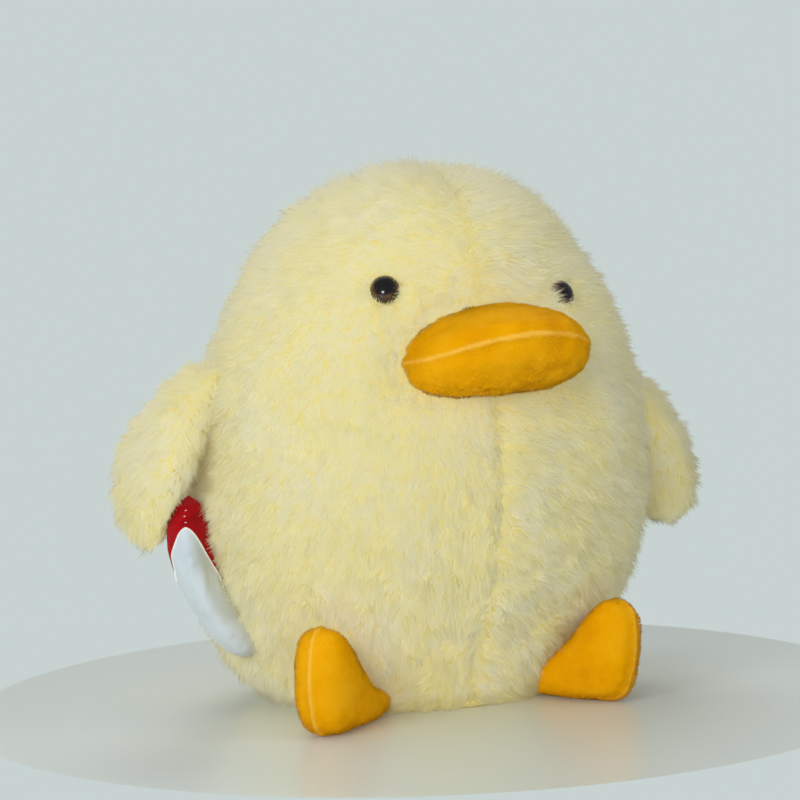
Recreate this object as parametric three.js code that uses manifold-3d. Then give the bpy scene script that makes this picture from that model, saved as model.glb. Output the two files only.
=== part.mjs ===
// Plush duck sitting on a flat base, with a small stuffed toy knife sewn under one wing.
// Millimetres, +Z up. The origin lies on the base, under the body. The duck faces -Y,
// so its right side is -X. Every stuffed form is a skin of sewn panels round a filling.

import * as THREE from 'three';
import { mergeVertices } from 'three/addons/utils/BufferGeometryUtils.js';
import Module from 'manifold-3d';

const wasm = await Module();
wasm.setup();

// Driving dimensions

// Clearances and thicknesses of cloth, with the pile's dense root where it has one
const sewingGap = 0.3;
const fillingGap = 0.5;
const furWall = 4;
const wingFurWall = 3;
const velboaWall = 2;
const satinWall = 1.4;

// Body: an egg that bulges low and forward, narrows to its base and leans into its head
const bodyHeight = 230;
const bodyHalfWidth = 100;
const bodyHalfDepth = 87;
const basePanelThickness = 3;
const bodyShares = [
  { along: 0, across: 0.59, through: 0.61, shift: 0.035 },
  { along: 0.018, across: 0.63, through: 0.64, shift: 0.05 },
  { along: 0.051, across: 0.76, through: 0.715, shift: 0.1 },
  { along: 0.102, across: 0.85, through: 0.79, shift: 0.14 },
  { along: 0.184, across: 0.92, through: 0.875, shift: 0.115 },
  { along: 0.26, across: 0.965, through: 0.955, shift: 0.06 },
  { along: 0.337, across: 0.99, through: 0.99, shift: 0.015 },
  { along: 0.414, across: 1, through: 1, shift: -0.01 },
  { along: 0.52, across: 0.98, through: 0.985, shift: -0.035 },
  { along: 0.64, across: 0.925, through: 0.925, shift: -0.055 },
  { along: 0.721, across: 0.85, through: 0.845, shift: -0.065 },
  { along: 0.803, across: 0.755, through: 0.74, shift: -0.07 },
  { along: 0.865, across: 0.66, through: 0.645, shift: -0.08 },
  { along: 0.913, across: 0.56, through: 0.54, shift: -0.09 },
  { along: 0.95, across: 0.44, through: 0.425, shift: -0.1 },
  { along: 0.974, across: 0.33, through: 0.315, shift: -0.115 },
  { along: 0.99, across: 0.2, through: 0.19, shift: -0.13 },
  { along: 1, across: 0, through: 0, shift: -0.14 },
];

// Beak: a pad sewn along its rim, arched over the face, fuller below the rim than above
const beakHalfWidth = 40;
const beakHalfDepth = 42;
const beakRise = 12;
const beakDrop = 25;
const beakRimHeight = 160;
const beakArch = 8;
const beakTilt = 3;
const beakSetback = 80;
const beakShares = [
  { along: 0, across: 0, through: 0 },
  { along: 0.03, across: 0.4, through: 0.38 },
  { along: 0.12, across: 0.7, through: 0.68 },
  { along: 0.28, across: 0.91, through: 0.92 },
  { along: 0.5, across: 1, through: 1 },
  { along: 0.72, across: 0.91, through: 0.92 },
  { along: 0.88, across: 0.7, through: 0.68 },
  { along: 0.97, across: 0.4, through: 0.38 },
  { along: 1, across: 0, through: 0 },
];

// Eyes: domed plastic buttons on a ribbed stem, held inside by a pressed-on washer
const eyeRadius = 6.2;
const eyeRimThickness = 1.2;
const eyeDomeHeight = 4.2;
const eyeStemRadius = 2;
const eyeStemLength = 12;
const eyeStemRibDepth = 0.4;
const eyeStemRibPitch = 2;
const eyeStemRibCount = 3;
const eyeHeight = 177.4;
const eyeHeightDifference = 4;
const eyeBearing = 30;
const washerRadius = 8;
const washerThickness = 1.6;
const washerHubRadius = 3.8;
const washerHubHeight = 2.4;
const washerFit = 0.1;

// Wings: flat drops that hang from the shoulder seam and swell towards their tips
const wingHalfWidth = 28;
const wingHalfThickness = 12;
const wingRootShift = -1;
const wingBendShift = 0;
const rightWingTipShift = 8;
const leftWingTipShift = 1;
const wingLiftLimit = 75;
const rightShoulderReach = 92;
const rightShoulderHeight = 150;
const rightWingBendReach = 129;
const rightWingBendHeight = 121;
const rightWingTipReach = 123;
const rightWingTipHeight = 76;
const leftShoulderReach = 93;
const leftShoulderHeight = 145;
const leftWingBendReach = 119;
const leftWingBendHeight = 114;
const leftWingTipReach = 127;
const leftWingTipHeight = 70;
const wingPoses = {
  right: {
    side: -1,
    shoulder: { reach: rightShoulderReach, shift: wingRootShift, height: rightShoulderHeight },
    bend: { reach: rightWingBendReach, shift: wingBendShift, height: rightWingBendHeight },
    tip: { reach: rightWingTipReach, shift: rightWingTipShift, height: rightWingTipHeight },
  },
  left: {
    side: 1,
    shoulder: { reach: leftShoulderReach, shift: wingRootShift, height: leftShoulderHeight },
    bend: { reach: leftWingBendReach, shift: wingBendShift, height: leftWingBendHeight },
    tip: { reach: leftWingTipReach, shift: leftWingTipShift, height: leftWingTipHeight },
  },
};
const wingShares = [
  { along: 0, across: 0, through: 0 },
  { along: 0.03, across: 0.34, through: 0.42 },
  { along: 0.12, across: 0.52, through: 0.76 },
  { along: 0.3, across: 0.74, through: 0.96 },
  { along: 0.5, across: 0.96, through: 1 },
  { along: 0.64, across: 1, through: 0.96 },
  { along: 0.78, across: 0.88, through: 0.84 },
  { along: 0.9, across: 0.64, through: 0.64 },
  { along: 0.97, across: 0.38, through: 0.42 },
  { along: 1, across: 0, through: 0 },
];

// Feet: fans that stand on edge, narrow at the heel and widest at the toes
const footLength = 64;
const footHalfHeight = 22.5;
const footHalfThickness = 12.5;
const footRimPower = 0.8;
const footFloorClearance = 0.6;
const footFlatDepth = 0.5;
const footTurnLimit = 10;
const footHeelRiseShare = 0.28;
const footWidestShare = 0.8;
const rightHeelReach = 36;
const rightHeelSetback = 36.8;
const leftHeelReach = 28.6;
const leftHeelSetback = 26;
const footPoses = {
  right: { side: -1, heelReach: rightHeelReach, heelSetback: rightHeelSetback, splay: 49, lean: 0 },
  left: { side: 1, heelReach: leftHeelReach, heelSetback: leftHeelSetback, splay: 30, lean: 12 },
};
const footShares = [
  { along: 0, across: 0, through: 0 },
  { along: 0.04, across: 0.2, through: 0.4 },
  { along: 0.2, across: 0.27, through: 0.64 },
  { along: 0.4, across: 0.39, through: 0.82 },
  { along: 0.55, across: 0.6, through: 0.94 },
  { along: 0.68, across: 0.86, through: 1 },
  { along: 0.8, across: 1, through: 0.97 },
  { along: 0.9, across: 0.94, through: 0.8 },
  { along: 0.97, across: 0.68, through: 0.48 },
  { along: 1, across: 0, through: 0 },
];

// Tail: a short stuffed tuft low on the back
const tailLength = 44;
const tailHalfWidth = 17;
const tailHalfThickness = 9;
const tailRootHeight = 56;
const tailRootDepth = 78;
const tailPitch = 32;
const tailShares = [
  { along: 0, across: 0, through: 0 },
  { along: 0.05, across: 0.62, through: 0.6 },
  { along: 0.25, across: 0.96, through: 0.95 },
  { along: 0.45, across: 1, through: 1 },
  { along: 0.7, across: 0.76, through: 0.8 },
  { along: 0.9, across: 0.42, through: 0.46 },
  { along: 0.98, across: 0.18, through: 0.2 },
  { along: 1, across: 0, through: 0 },
];

// Toy knife: a slim stuffed form in two colours, sewn to the wing by the end of its handle
const knifeHalfWidth = 12.5;
const knifeHalfThickness = 9.3;
const knifeRimPower = 1.5;
const knifeSetback = 8;
const knifeTopReach = 110;
const knifeTopHeight = 96;
const knifeBendReach = 117.5;
const knifeBendHeight = 62;
const knifeTipReach = 87;
const knifeTipHeight = 27;
const knifeStitchReach = 111;
const knifeStitchHeight = 90;
const knifeBoundaryReach = 110;
const knifeBoundaryHeight = 60;
const knifeBoundarySlope = 66;
const knifeTurn = 20;
const knifeSwingLimit = 20;
const knifeShares = [
  { along: 0, across: 0, through: 0 },
  { along: 0.03, across: 0.42, through: 0.45 },
  { along: 0.1, across: 0.74, through: 0.78 },
  { along: 0.25, across: 0.98, through: 0.96 },
  { along: 0.45, across: 1, through: 0.98 },
  { along: 0.62, across: 0.96, through: 1 },
  { along: 0.78, across: 0.8, through: 0.96 },
  { along: 0.88, across: 0.6, through: 0.72 },
  { along: 0.94, across: 0.52, through: 0.6 },
  { along: 0.985, across: 0.36, through: 0.42 },
  { along: 1, across: 0, through: 0 },
];

// Counts of facets
const bodyCounts = { rings: 20, sides: 32 };
const bodyLiningCounts = { rings: 12, sides: 18 };
const limbCounts = { rings: 10, sides: 14 };
const liningCounts = { rings: 7, sides: 10 };
const turnedSides = 16;
const domeSteps = 4;
const clearingSteps = 4;

// Materials, one for each kind of cloth, plastic or filling
const finishes = {
  fur: { color: 0xefe4a6, roughness: 0.95, metalness: 0 },
  baseCloth: { color: 0xe2d79c, roughness: 0.9, metalness: 0 },
  velboa: { color: 0xf2a70c, roughness: 0.8, metalness: 0 },
  handleCloth: { color: 0xb00020, roughness: 0.85, metalness: 0 },
  bladeSatin: { color: 0xd5dde0, roughness: 0.4, metalness: 0 },
  eyeGloss: { color: 0x120c08, roughness: 0.08, metalness: 0 },
  washerPlastic: { color: 0xe8e8e4, roughness: 0.4, metalness: 0 },
  fibre: { color: 0xfafafa, roughness: 1, metalness: 0 },
};

// Values that the sections below share

const cutterReach = 2 * bodyHeight;
const xAxis = new THREE.Vector3(1, 0, 0);
const yAxis = new THREE.Vector3(0, 1, 0);
const zAxis = new THREE.Vector3(0, 0, 1);

const duck = new THREE.Group();

function addPiece(name, solid, finish) {
  const mesh = new THREE.Mesh(toGeometry(solid), new THREE.MeshStandardMaterial(finishes[finish]));
  mesh.name = name;
  duck.add(mesh);
}

// Solids and cuts

function toSolid(geometry) {
  geometry.deleteAttribute('normal');
  geometry.deleteAttribute('uv');
  const merged = mergeVertices(geometry);
  const vertProperties = new Float32Array(merged.attributes.position.array);
  const triVerts = new Uint32Array(merged.index.array);
  return new wasm.Manifold(new wasm.Mesh({ numProp: 3, vertProperties, triVerts }));
}

function toGeometry(solid) {
  const mesh = solid.getMesh();
  const geometry = new THREE.BufferGeometry();
  geometry.setAttribute('position', new THREE.BufferAttribute(mesh.vertProperties, 3));
  geometry.setIndex(new THREE.BufferAttribute(mesh.triVerts, 1));
  geometry.computeVertexNormals();
  return geometry;
}

// Six times the volume that the triangles enclose, negative where they face inwards
function signedVolume(points, index) {
  let total = 0;
  for (let start = 0; start < index.length; start += 3) {
    const [a, b, c] = index.slice(start, start + 3).map((corner) => points[corner]);
    total += a.dot(b.clone().cross(c));
  }
  return total;
}

// A solid of stacked rings of points, closed by one point before and one after them
function ringedSolid(rings, first, last) {
  const sides = rings[0].length;
  const points = [...rings.flat(), first, last];
  const firstPlace = points.length - 2;
  const lastPlace = points.length - 1;
  const top = (rings.length - 1) * sides;
  const index = [];
  for (let side = 0; side < sides; side += 1) {
    const next = (side + 1) % sides;
    index.push(firstPlace, next, side);
    index.push(lastPlace, top + side, top + next);
    for (let low = 0; low < top; low += sides) {
      const high = low + sides;
      index.push(low + side, low + next, high + next);
      index.push(low + side, high + next, high + side);
    }
  }
  if (signedVolume(points, index) < 0) {
    index.reverse();
  }
  const geometry = new THREE.BufferGeometry().setFromPoints(points);
  geometry.setIndex(index);
  return toSolid(geometry);
}

// A profile of [radius, height] pairs that starts and ends on its axis, turned about that axis
function turnedSolid(profile, origin, direction) {
  const turn = new THREE.Quaternion().setFromUnitVectors(zAxis, direction);
  const place = (x, y, z) => new THREE.Vector3(x, y, z).applyQuaternion(turn).add(origin);
  const rings = profile.slice(1, -1).map(([radius, height]) => {
    const angles = Array.from({ length: turnedSides }, (_, side) => (2 * Math.PI * side) / turnedSides);
    return angles.map((angle) => place(radius * Math.cos(angle), radius * Math.sin(angle), height));
  });
  return ringedSolid(rings, place(0, 0, profile.at(0)[1]), place(0, 0, profile.at(-1)[1]));
}

// A block that fills the side of a plane that its normal points to
function halfSpace(point, normal) {
  const geometry = new THREE.BoxGeometry(cutterReach, cutterReach, cutterReach);
  geometry.translate(0, 0, cutterReach / 2);
  geometry.applyQuaternion(new THREE.Quaternion().setFromUnitVectors(zAxis, normal));
  geometry.translate(point.x, point.y, point.z);
  return toSolid(geometry);
}

// The part of a solid on one side of a plane, half the sewing gap away from it
function besidePlane(solid, point, normal) {
  const start = point.clone().addScaledVector(normal, sewingGap / 2);
  return solid.intersect(halfSpace(start, normal));
}

// A turn about a line through a pivot, in degrees
function turnAbout(pivot, axis, degrees) {
  const away = new THREE.Matrix4().makeTranslation(-pivot.x, -pivot.y, -pivot.z);
  const turn = new THREE.Matrix4().makeRotationAxis(axis, THREE.MathUtils.degToRad(degrees));
  const back = new THREE.Matrix4().makeTranslation(pivot.x, pivot.y, pivot.z);
  return back.multiply(turn).multiply(away);
}

// A hinged solid less what an obstacle would cut from it over the hinge's range of degrees
function clearedOver(solid, obstacle, hinge) {
  let cleared = solid;
  for (let step = 0; step <= clearingSteps; step += 1) {
    const angle = THREE.MathUtils.lerp(hinge.least, hinge.most, step / clearingSteps);
    const moved = toGeometry(obstacle);
    moved.applyMatrix4(turnAbout(hinge.pivot, hinge.axis, -angle));
    cleared = cleared.subtract(toSolid(moved));
  }
  return cleared;
}

// Stuffed forms: level sections along a spine, spanned by an across and a through direction

// A smooth run through a table of shares, read at places from 0 to 1
function sectionRun(shares) {
  const sizes = shares.map((share) => new THREE.Vector3(share.along, share.across, share.through));
  const shifts = shares.map((share) => new THREE.Vector3(share.along, share.shift ?? 0, 0));
  const sizeCurve = new THREE.CatmullRomCurve3(sizes, false, 'centripetal');
  const shiftCurve = new THREE.CatmullRomCurve3(shifts, false, 'centripetal');
  return (place) => {
    const size = sizeCurve.getPoint(place);
    const shift = shiftCurve.getPoint(place).y;
    return { along: size.x, across: size.y, through: size.z, shift };
  };
}

// A form's section at a place: its middle and its half sizes, drawn in by an inset
function formSection(form, place, inset) {
  const share = form.run(place);
  const startInset = form.flatStart ? 0 : inset;
  const along = (startInset + share.along * (form.length - startInset - inset)) / form.length;
  const half = {
    across: share.across * form.halfAcross,
    through: share.through * form.halfThrough,
    under: share.through * (form.halfUnder ?? form.halfThrough),
  };
  const middle = form.spine(along, share);
  middle.addScaledVector(form.throughDirection, share.shift * form.halfThrough);
  return { middle, half };
}

// The solid of a form. An inset makes its lining or filling, and a negative inset grows it.
// A half size loses the whole inset where it is large, and never quite closes where it is small.
// A rim power of 1 gives round sections, and more draws them to an edge at the rim seam.
function formSolid(form, counts, inset) {
  const shrink = (size) => size ** 2 / (size + inset);
  const drawn = (share) => Math.sign(share) * Math.abs(share) ** (form.rimPower ?? 1);
  const startPlace = form.flatStart ? 0 : 0.5;
  const rings = [];
  for (let ring = 0; ring < counts.rings; ring += 1) {
    const place = (startPlace + ring) / counts.rings;
    const { middle, half } = formSection(form, place, inset);
    const points = [];
    for (let side = 0; side < counts.sides; side += 1) {
      const angle = (2 * Math.PI * side) / counts.sides;
      const rise = Math.sin(angle);
      const through = rise > 0 ? half.through : half.under;
      const point = middle.clone();
      point.addScaledVector(form.acrossDirection, shrink(half.across) * drawn(Math.cos(angle)));
      point.addScaledVector(form.throughDirection, shrink(through) * drawn(rise));
      points.push(point);
    }
    rings.push(points);
  }
  return ringedSolid(rings, formSection(form, 0, inset).middle, formSection(form, 1, inset).middle);
}

// The part of a solid on one side of a form's rim seam, half the sewing gap away from it.
// The seam is the sheet that the spine sweeps in the across direction.
function besideSeam(solid, form, side) {
  const level = new THREE.Vector3().crossVectors(form.throughDirection, form.acrossDirection);
  const line = Array.from({ length: form.counts.rings + 1 }, (_, ring) => {
    const { middle } = formSection(form, ring / form.counts.rings, 0);
    const rise = middle.dot(form.throughDirection) + (side * sewingGap) / 2;
    return new THREE.Vector2(middle.dot(level), rise);
  });
  const runsUp = line.at(-1).x > line.at(0).x ? 1 : -1;
  const start = line.at(0).clone().add(new THREE.Vector2(-runsUp * cutterReach, 0));
  const end = line.at(-1).clone().add(new THREE.Vector2(runsUp * cutterReach, 0));
  const far = new THREE.Vector2(0, side * cutterReach);
  const outline = [start, ...line, end, end.clone().add(far), start.clone().add(far)];
  const geometry = new THREE.ExtrudeGeometry(new THREE.Shape(outline), {
    depth: 2 * cutterReach,
    bevelEnabled: false,
  });
  geometry.translate(0, 0, -cutterReach);
  const outward = new THREE.Vector3().crossVectors(level, form.throughDirection);
  const turn = new THREE.Matrix4().makeBasis(level, form.throughDirection, outward);
  geometry.applyMatrix4(turn);
  return solid.intersect(toSolid(geometry));
}

// A stuffed piece's parts: two skin panels and the filling between them.
// The trim cuts away what the larger forms beside it take up.
function stuffedParts(form, wall, trim) {
  const outer = trim(formSolid(form, form.counts, 0));
  const lining = formSolid(form, liningCounts, wall);
  const skin = outer.subtract(lining);
  return {
    upper: besideSeam(skin, form, 1),
    under: besideSeam(skin, form, -1),
    filling: trim(formSolid(form, liningCounts, wall + fillingGap)),
  };
}

// Body

const bodyForm = {
  run: sectionRun(bodyShares),
  counts: bodyCounts,
  flatStart: true,
  length: bodyHeight,
  halfAcross: bodyHalfWidth,
  halfThrough: bodyHalfDepth,
  acrossDirection: xAxis,
  throughDirection: yAxis,
  spine: (along) => new THREE.Vector3(0, 0, along * bodyHeight),
};

// A point on the body's surface, at a height and at a bearing in degrees from straight ahead
function bodyPoint(height, bearing) {
  let low = 0;
  let high = 1;
  const halvings = 30;
  for (let step = 0; step < halvings; step += 1) {
    const place = (low + high) / 2;
    if (bodyForm.run(place).along * bodyHeight < height) {
      low = place;
    } else {
      high = place;
    }
  }
  const { middle, half } = formSection(bodyForm, low, 0);
  const angle = THREE.MathUtils.degToRad(bearing);
  return middle.add(new THREE.Vector3(half.across * Math.sin(angle), -half.through * Math.cos(angle), 0));
}

// The direction straight out of the body there
function bodyNormal(height, bearing) {
  const heightStep = 1;
  const bearingStep = 1;
  const upward = bodyPoint(height + heightStep, bearing).sub(bodyPoint(height - heightStep, bearing));
  const sideways = bodyPoint(height, bearing + bearingStep).sub(bodyPoint(height, bearing - bearingStep));
  return sideways.cross(upward).normalize();
}

const grownBody = formSolid(bodyForm, bodyCounts, -sewingGap);
const awayFromBody = (solid) => solid.subtract(grownBody);

// Eyes, each on a stem that passes through the skin into its washer

function stemProfile() {
  const profile = [];
  for (let rib = 0; rib < eyeStemRibCount; rib += 1) {
    const ribEnd = -eyeStemLength + rib * eyeStemRibPitch;
    profile.push([eyeStemRadius - eyeStemRibDepth, ribEnd]);
    profile.push([eyeStemRadius, ribEnd + eyeStemRibPitch / 2]);
  }
  return profile;
}

function eyeSolid(seat, outward) {
  const dome = [];
  for (let step = 0; step < domeSteps; step += 1) {
    const angle = (Math.PI / 2) * (step / domeSteps);
    dome.push([eyeRadius * Math.cos(angle), eyeRimThickness + eyeDomeHeight * Math.sin(angle)]);
  }
  const ends = { start: [0, -eyeStemLength], finish: [0, eyeRimThickness + eyeDomeHeight] };
  const back = [[eyeStemRadius, 0], [eyeRadius, 0]];
  return turnedSolid([ends.start, ...stemProfile(), ...back, ...dome, ends.finish], seat, outward);
}

function washerSolid(seat, inward) {
  const disc = [[0, 0], [washerRadius, 0], [washerRadius, washerThickness], [washerHubRadius, washerThickness]];
  const hub = [[washerHubRadius, washerThickness + washerHubHeight], [0, washerThickness + washerHubHeight]];
  return turnedSolid([...disc, ...hub], seat, inward);
}

// A straight round hole from its origin along a direction
function bore(radius, length, origin, direction) {
  return turnedSolid([[0, 0], [radius, 0], [radius, length], [0, length]], origin, direction);
}

function eyeParts(side) {
  const height = eyeHeight - (side * eyeHeightDifference) / 2;
  const outward = bodyNormal(height, side * eyeBearing);
  const seat = bodyPoint(height, side * eyeBearing).addScaledVector(outward, sewingGap);
  const inward = outward.clone().negate();
  const washerSeat = seat.clone().addScaledVector(inward, furWall + 2 * sewingGap);
  const pocketSeat = washerSeat.clone().addScaledVector(outward, sewingGap);
  const pocketLength = eyeStemLength - furWall + sewingGap;
  const stemHole = bore(eyeStemRadius + washerFit, eyeStemLength, seat, inward);
  return {
    eye: eyeSolid(seat, outward),
    washer: washerSolid(washerSeat, inward).subtract(stemHole),
    hole: bore(eyeStemRadius + sewingGap, eyeStemLength, seat, inward),
    pocket: bore(washerRadius + sewingGap, pocketLength, pocketSeat, inward),
  };
}

const eyes = { right: eyeParts(-1), left: eyeParts(1) };

function addBody() {
  const floor = new THREE.Vector3(0, 0, basePanelThickness + sewingGap / 2);
  const outer = formSolid(bodyForm, bodyCounts, 0);
  const lining = formSolid(bodyForm, bodyLiningCounts, furWall);
  let skin = besidePlane(outer.subtract(lining), floor, zAxis);
  let filling = besidePlane(formSolid(bodyForm, bodyLiningCounts, furWall + fillingGap), floor, zAxis);
  for (const { hole, pocket } of Object.values(eyes)) {
    skin = skin.subtract(hole).subtract(pocket);
    filling = filling.subtract(hole).subtract(pocket);
  }
  const centre = new THREE.Vector3();
  addPiece('body_skin_right', besidePlane(skin, centre, xAxis.clone().negate()), 'fur');
  addPiece('body_skin_left', besidePlane(skin, centre, xAxis), 'fur');
  addPiece('base_panel', besidePlane(outer, floor, zAxis.clone().negate()), 'baseCloth');
  addPiece('body_filling', filling, 'fibre');
}

function addEyes() {
  for (const [side, { eye, washer }] of Object.entries(eyes)) {
    addPiece(`eye_${side}`, eye, 'eyeGloss');
    addPiece(`eye_washer_${side}`, washer, 'washerPlastic');
  }
}

// Beak

function addBeak() {
  const archRadius = beakHalfWidth ** 2 / (2 * beakArch);
  const tilt = THREE.MathUtils.degToRad(beakTilt);
  const sideways = new THREE.Vector3(Math.cos(tilt), 0, Math.sin(tilt));
  const upward = new THREE.Vector3(-Math.sin(tilt), 0, Math.cos(tilt));
  const middle = new THREE.Vector3(0, -beakSetback, beakRimHeight);
  const form = {
    run: sectionRun(beakShares),
    counts: limbCounts,
    length: 2 * beakHalfWidth,
    halfAcross: beakHalfDepth,
    halfThrough: beakRise,
    halfUnder: beakDrop,
    acrossDirection: yAxis,
    throughDirection: upward,
    spine: (along) => {
      const reach = (2 * along - 1) * beakHalfWidth;
      const drop = archRadius - Math.sqrt(archRadius ** 2 - reach ** 2);
      return middle.clone().addScaledVector(sideways, reach).addScaledVector(upward, -drop);
    },
  };
  const { upper, under, filling } = stuffedParts(form, velboaWall, awayFromBody);
  addPiece('beak_upper_panel', upper, 'velboa');
  addPiece('beak_lower_panel', under, 'velboa');
  addPiece('beak_filling', filling, 'fibre');
}

// Wings, hinged at the top of their shoulder seams

function wingForm({ side, shoulder, bend, tip }) {
  const points = [shoulder, bend, tip];
  const places = points.map(({ reach, shift, height }) => new THREE.Vector3(side * reach, shift, height));
  const curve = new THREE.QuadraticBezierCurve3(...places);
  return {
    run: sectionRun(wingShares),
    counts: limbCounts,
    length: curve.getLength(),
    halfAcross: wingHalfWidth,
    halfThrough: wingHalfThickness,
    acrossDirection: yAxis,
    throughDirection: xAxis.clone().multiplyScalar(side),
    spine: (along) => curve.getPoint(along),
  };
}

function addWing(name) {
  const pose = wingPoses[name];
  const { reach, shift, height } = pose.shoulder;
  const pivot = new THREE.Vector3(pose.side * reach, shift, height);
  const axis = yAxis.clone().multiplyScalar(-pose.side);
  const hinge = { pivot, axis, least: 0, most: wingLiftLimit };
  const trim = (solid) => clearedOver(solid, grownBody, hinge);
  const { upper, under, filling } = stuffedParts(wingForm(pose), wingFurWall, trim);
  addPiece(`wing_${name}_outer_panel`, upper, 'fur');
  addPiece(`wing_${name}_inner_panel`, under, 'fur');
  addPiece(`wing_${name}_filling`, filling, 'fibre');
}

// Feet, hinged at their heels

function addFoot(name) {
  const { side, heelReach, heelSetback, splay, lean } = footPoses[name];
  const heel = new THREE.Vector3(side * heelReach, -heelSetback, footFloorClearance);
  const bearing = THREE.MathUtils.degToRad(splay);
  const outward = new THREE.Vector3(side * Math.sin(bearing), -Math.cos(bearing), 0);
  const sideways = new THREE.Vector3(side * Math.cos(bearing), Math.sin(bearing), 0);
  const tilt = THREE.MathUtils.degToRad(lean);
  const upward = zAxis.clone().multiplyScalar(Math.cos(tilt)).addScaledVector(sideways, Math.sin(tilt));
  const through = sideways.clone().multiplyScalar(Math.cos(tilt)).addScaledVector(zAxis, -Math.sin(tilt));
  const form = {
    run: sectionRun(footShares),
    counts: limbCounts,
    length: footLength,
    halfAcross: footHalfHeight,
    halfThrough: footHalfThickness,
    rimPower: footRimPower,
    acrossDirection: upward,
    throughDirection: through,
    spine: (along, { across }) => {
      const riseShare = along < footWidestShare ? Math.max(across, footHeelRiseShare) : 1;
      const lift = footHalfHeight * riseShare - footFlatDepth;
      return heel.clone().addScaledVector(outward, along * footLength).addScaledVector(upward, lift);
    },
  };
  const pivot = heel.clone();
  const hinge = { pivot, axis: zAxis, least: -footTurnLimit, most: footTurnLimit };
  const sole = new THREE.Vector3(0, 0, footFloorClearance - sewingGap / 2);
  const trim = (solid) => besidePlane(clearedOver(solid, grownBody, hinge), sole, zAxis);
  const { upper, under, filling } = stuffedParts(form, velboaWall, trim);
  addPiece(`foot_${name}_outer_panel`, upper, 'velboa');
  addPiece(`foot_${name}_inner_panel`, under, 'velboa');
  addPiece(`foot_${name}_filling`, filling, 'fibre');
}

// Tail

function addTail() {
  const pitch = THREE.MathUtils.degToRad(tailPitch);
  const root = new THREE.Vector3(0, tailRootDepth, tailRootHeight);
  const outward = new THREE.Vector3(0, Math.cos(pitch), Math.sin(pitch));
  const form = {
    run: sectionRun(tailShares),
    counts: limbCounts,
    length: tailLength,
    halfAcross: tailHalfWidth,
    halfThrough: tailHalfThickness,
    acrossDirection: xAxis,
    throughDirection: new THREE.Vector3(0, -Math.sin(pitch), Math.cos(pitch)),
    spine: (along) => root.clone().addScaledVector(outward, along * tailLength),
  };
  const { upper, under, filling } = stuffedParts(form, wingFurWall, awayFromBody);
  addPiece('tail_upper_panel', upper, 'fur');
  addPiece('tail_lower_panel', under, 'fur');
  addPiece('tail_filling', filling, 'fibre');
}

// Toy knife, hinged where its handle is stitched to the right wing

function addKnife() {
  const top = new THREE.Vector3(-knifeTopReach, -knifeSetback, knifeTopHeight);
  const bend = new THREE.Vector3(-knifeBendReach, -knifeSetback, knifeBendHeight);
  const tip = new THREE.Vector3(-knifeTipReach, -knifeSetback, knifeTipHeight);
  const curve = new THREE.QuadraticBezierCurve3(top, bend, tip);
  const turn = THREE.MathUtils.degToRad(knifeTurn);
  const across = new THREE.Vector3(Math.sin(turn), Math.cos(turn), 0);
  const form = {
    run: sectionRun(knifeShares),
    counts: limbCounts,
    length: curve.getLength(),
    halfAcross: knifeHalfWidth,
    halfThrough: knifeHalfThickness,
    rimPower: knifeRimPower,
    acrossDirection: across,
    throughDirection: new THREE.Vector3(Math.cos(turn), -Math.sin(turn), 0),
    spine: (along) => curve.getPoint(along),
  };
  const pivot = new THREE.Vector3(-knifeStitchReach, -knifeSetback, knifeStitchHeight);
  const hinge = { pivot, axis: xAxis, least: -knifeSwingLimit, most: 0 };
  const grownWing = formSolid(wingForm(wingPoses.right), limbCounts, -sewingGap);
  const trim = (solid) => clearedOver(clearedOver(solid, grownWing, hinge), grownBody, hinge);
  const { upper, under, filling } = stuffedParts(form, satinWall, trim);
  const slope = THREE.MathUtils.degToRad(knifeBoundarySlope);
  const boundary = new THREE.Vector3(-knifeBoundaryReach, -knifeSetback, knifeBoundaryHeight);
  // The handle's cloth comes down to a point in the middle of each face
  const pointedSpace = (gap) => {
    const [front, back] = [Math.sin(slope), -Math.sin(slope)].map((lean) => {
      const normal = across.clone().multiplyScalar(lean).addScaledVector(zAxis, Math.cos(slope));
      return halfSpace(boundary.clone().addScaledVector(normal, gap), normal);
    });
    return front.intersect(back);
  };
  const handleSpace = pointedSpace(sewingGap / 2);
  const bladeCut = pointedSpace(-sewingGap / 2);
  addPiece('knife_handle_inner_panel', upper.intersect(handleSpace), 'handleCloth');
  addPiece('knife_handle_outer_panel', under.intersect(handleSpace), 'handleCloth');
  addPiece('knife_blade_inner_panel', upper.subtract(bladeCut), 'bladeSatin');
  addPiece('knife_blade_outer_panel', under.subtract(bladeCut), 'bladeSatin');
  addPiece('knife_filling', filling, 'fibre');
}

addBody();
addEyes();
addBeak();
addTail();
addFoot('right');
addFoot('left');
addWing('right');
addWing('left');
addKnife();

export default duck;
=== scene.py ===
# Plush duck with a stuffed toy knife: its looks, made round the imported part.
# Metres, +Z up. The duck faces -Y, so its right side is -X.

import math

import bmesh
import bpy
import numpy as np
from mathutils import Matrix, Vector, noise
from mathutils.bvhtree import BVHTree


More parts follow.
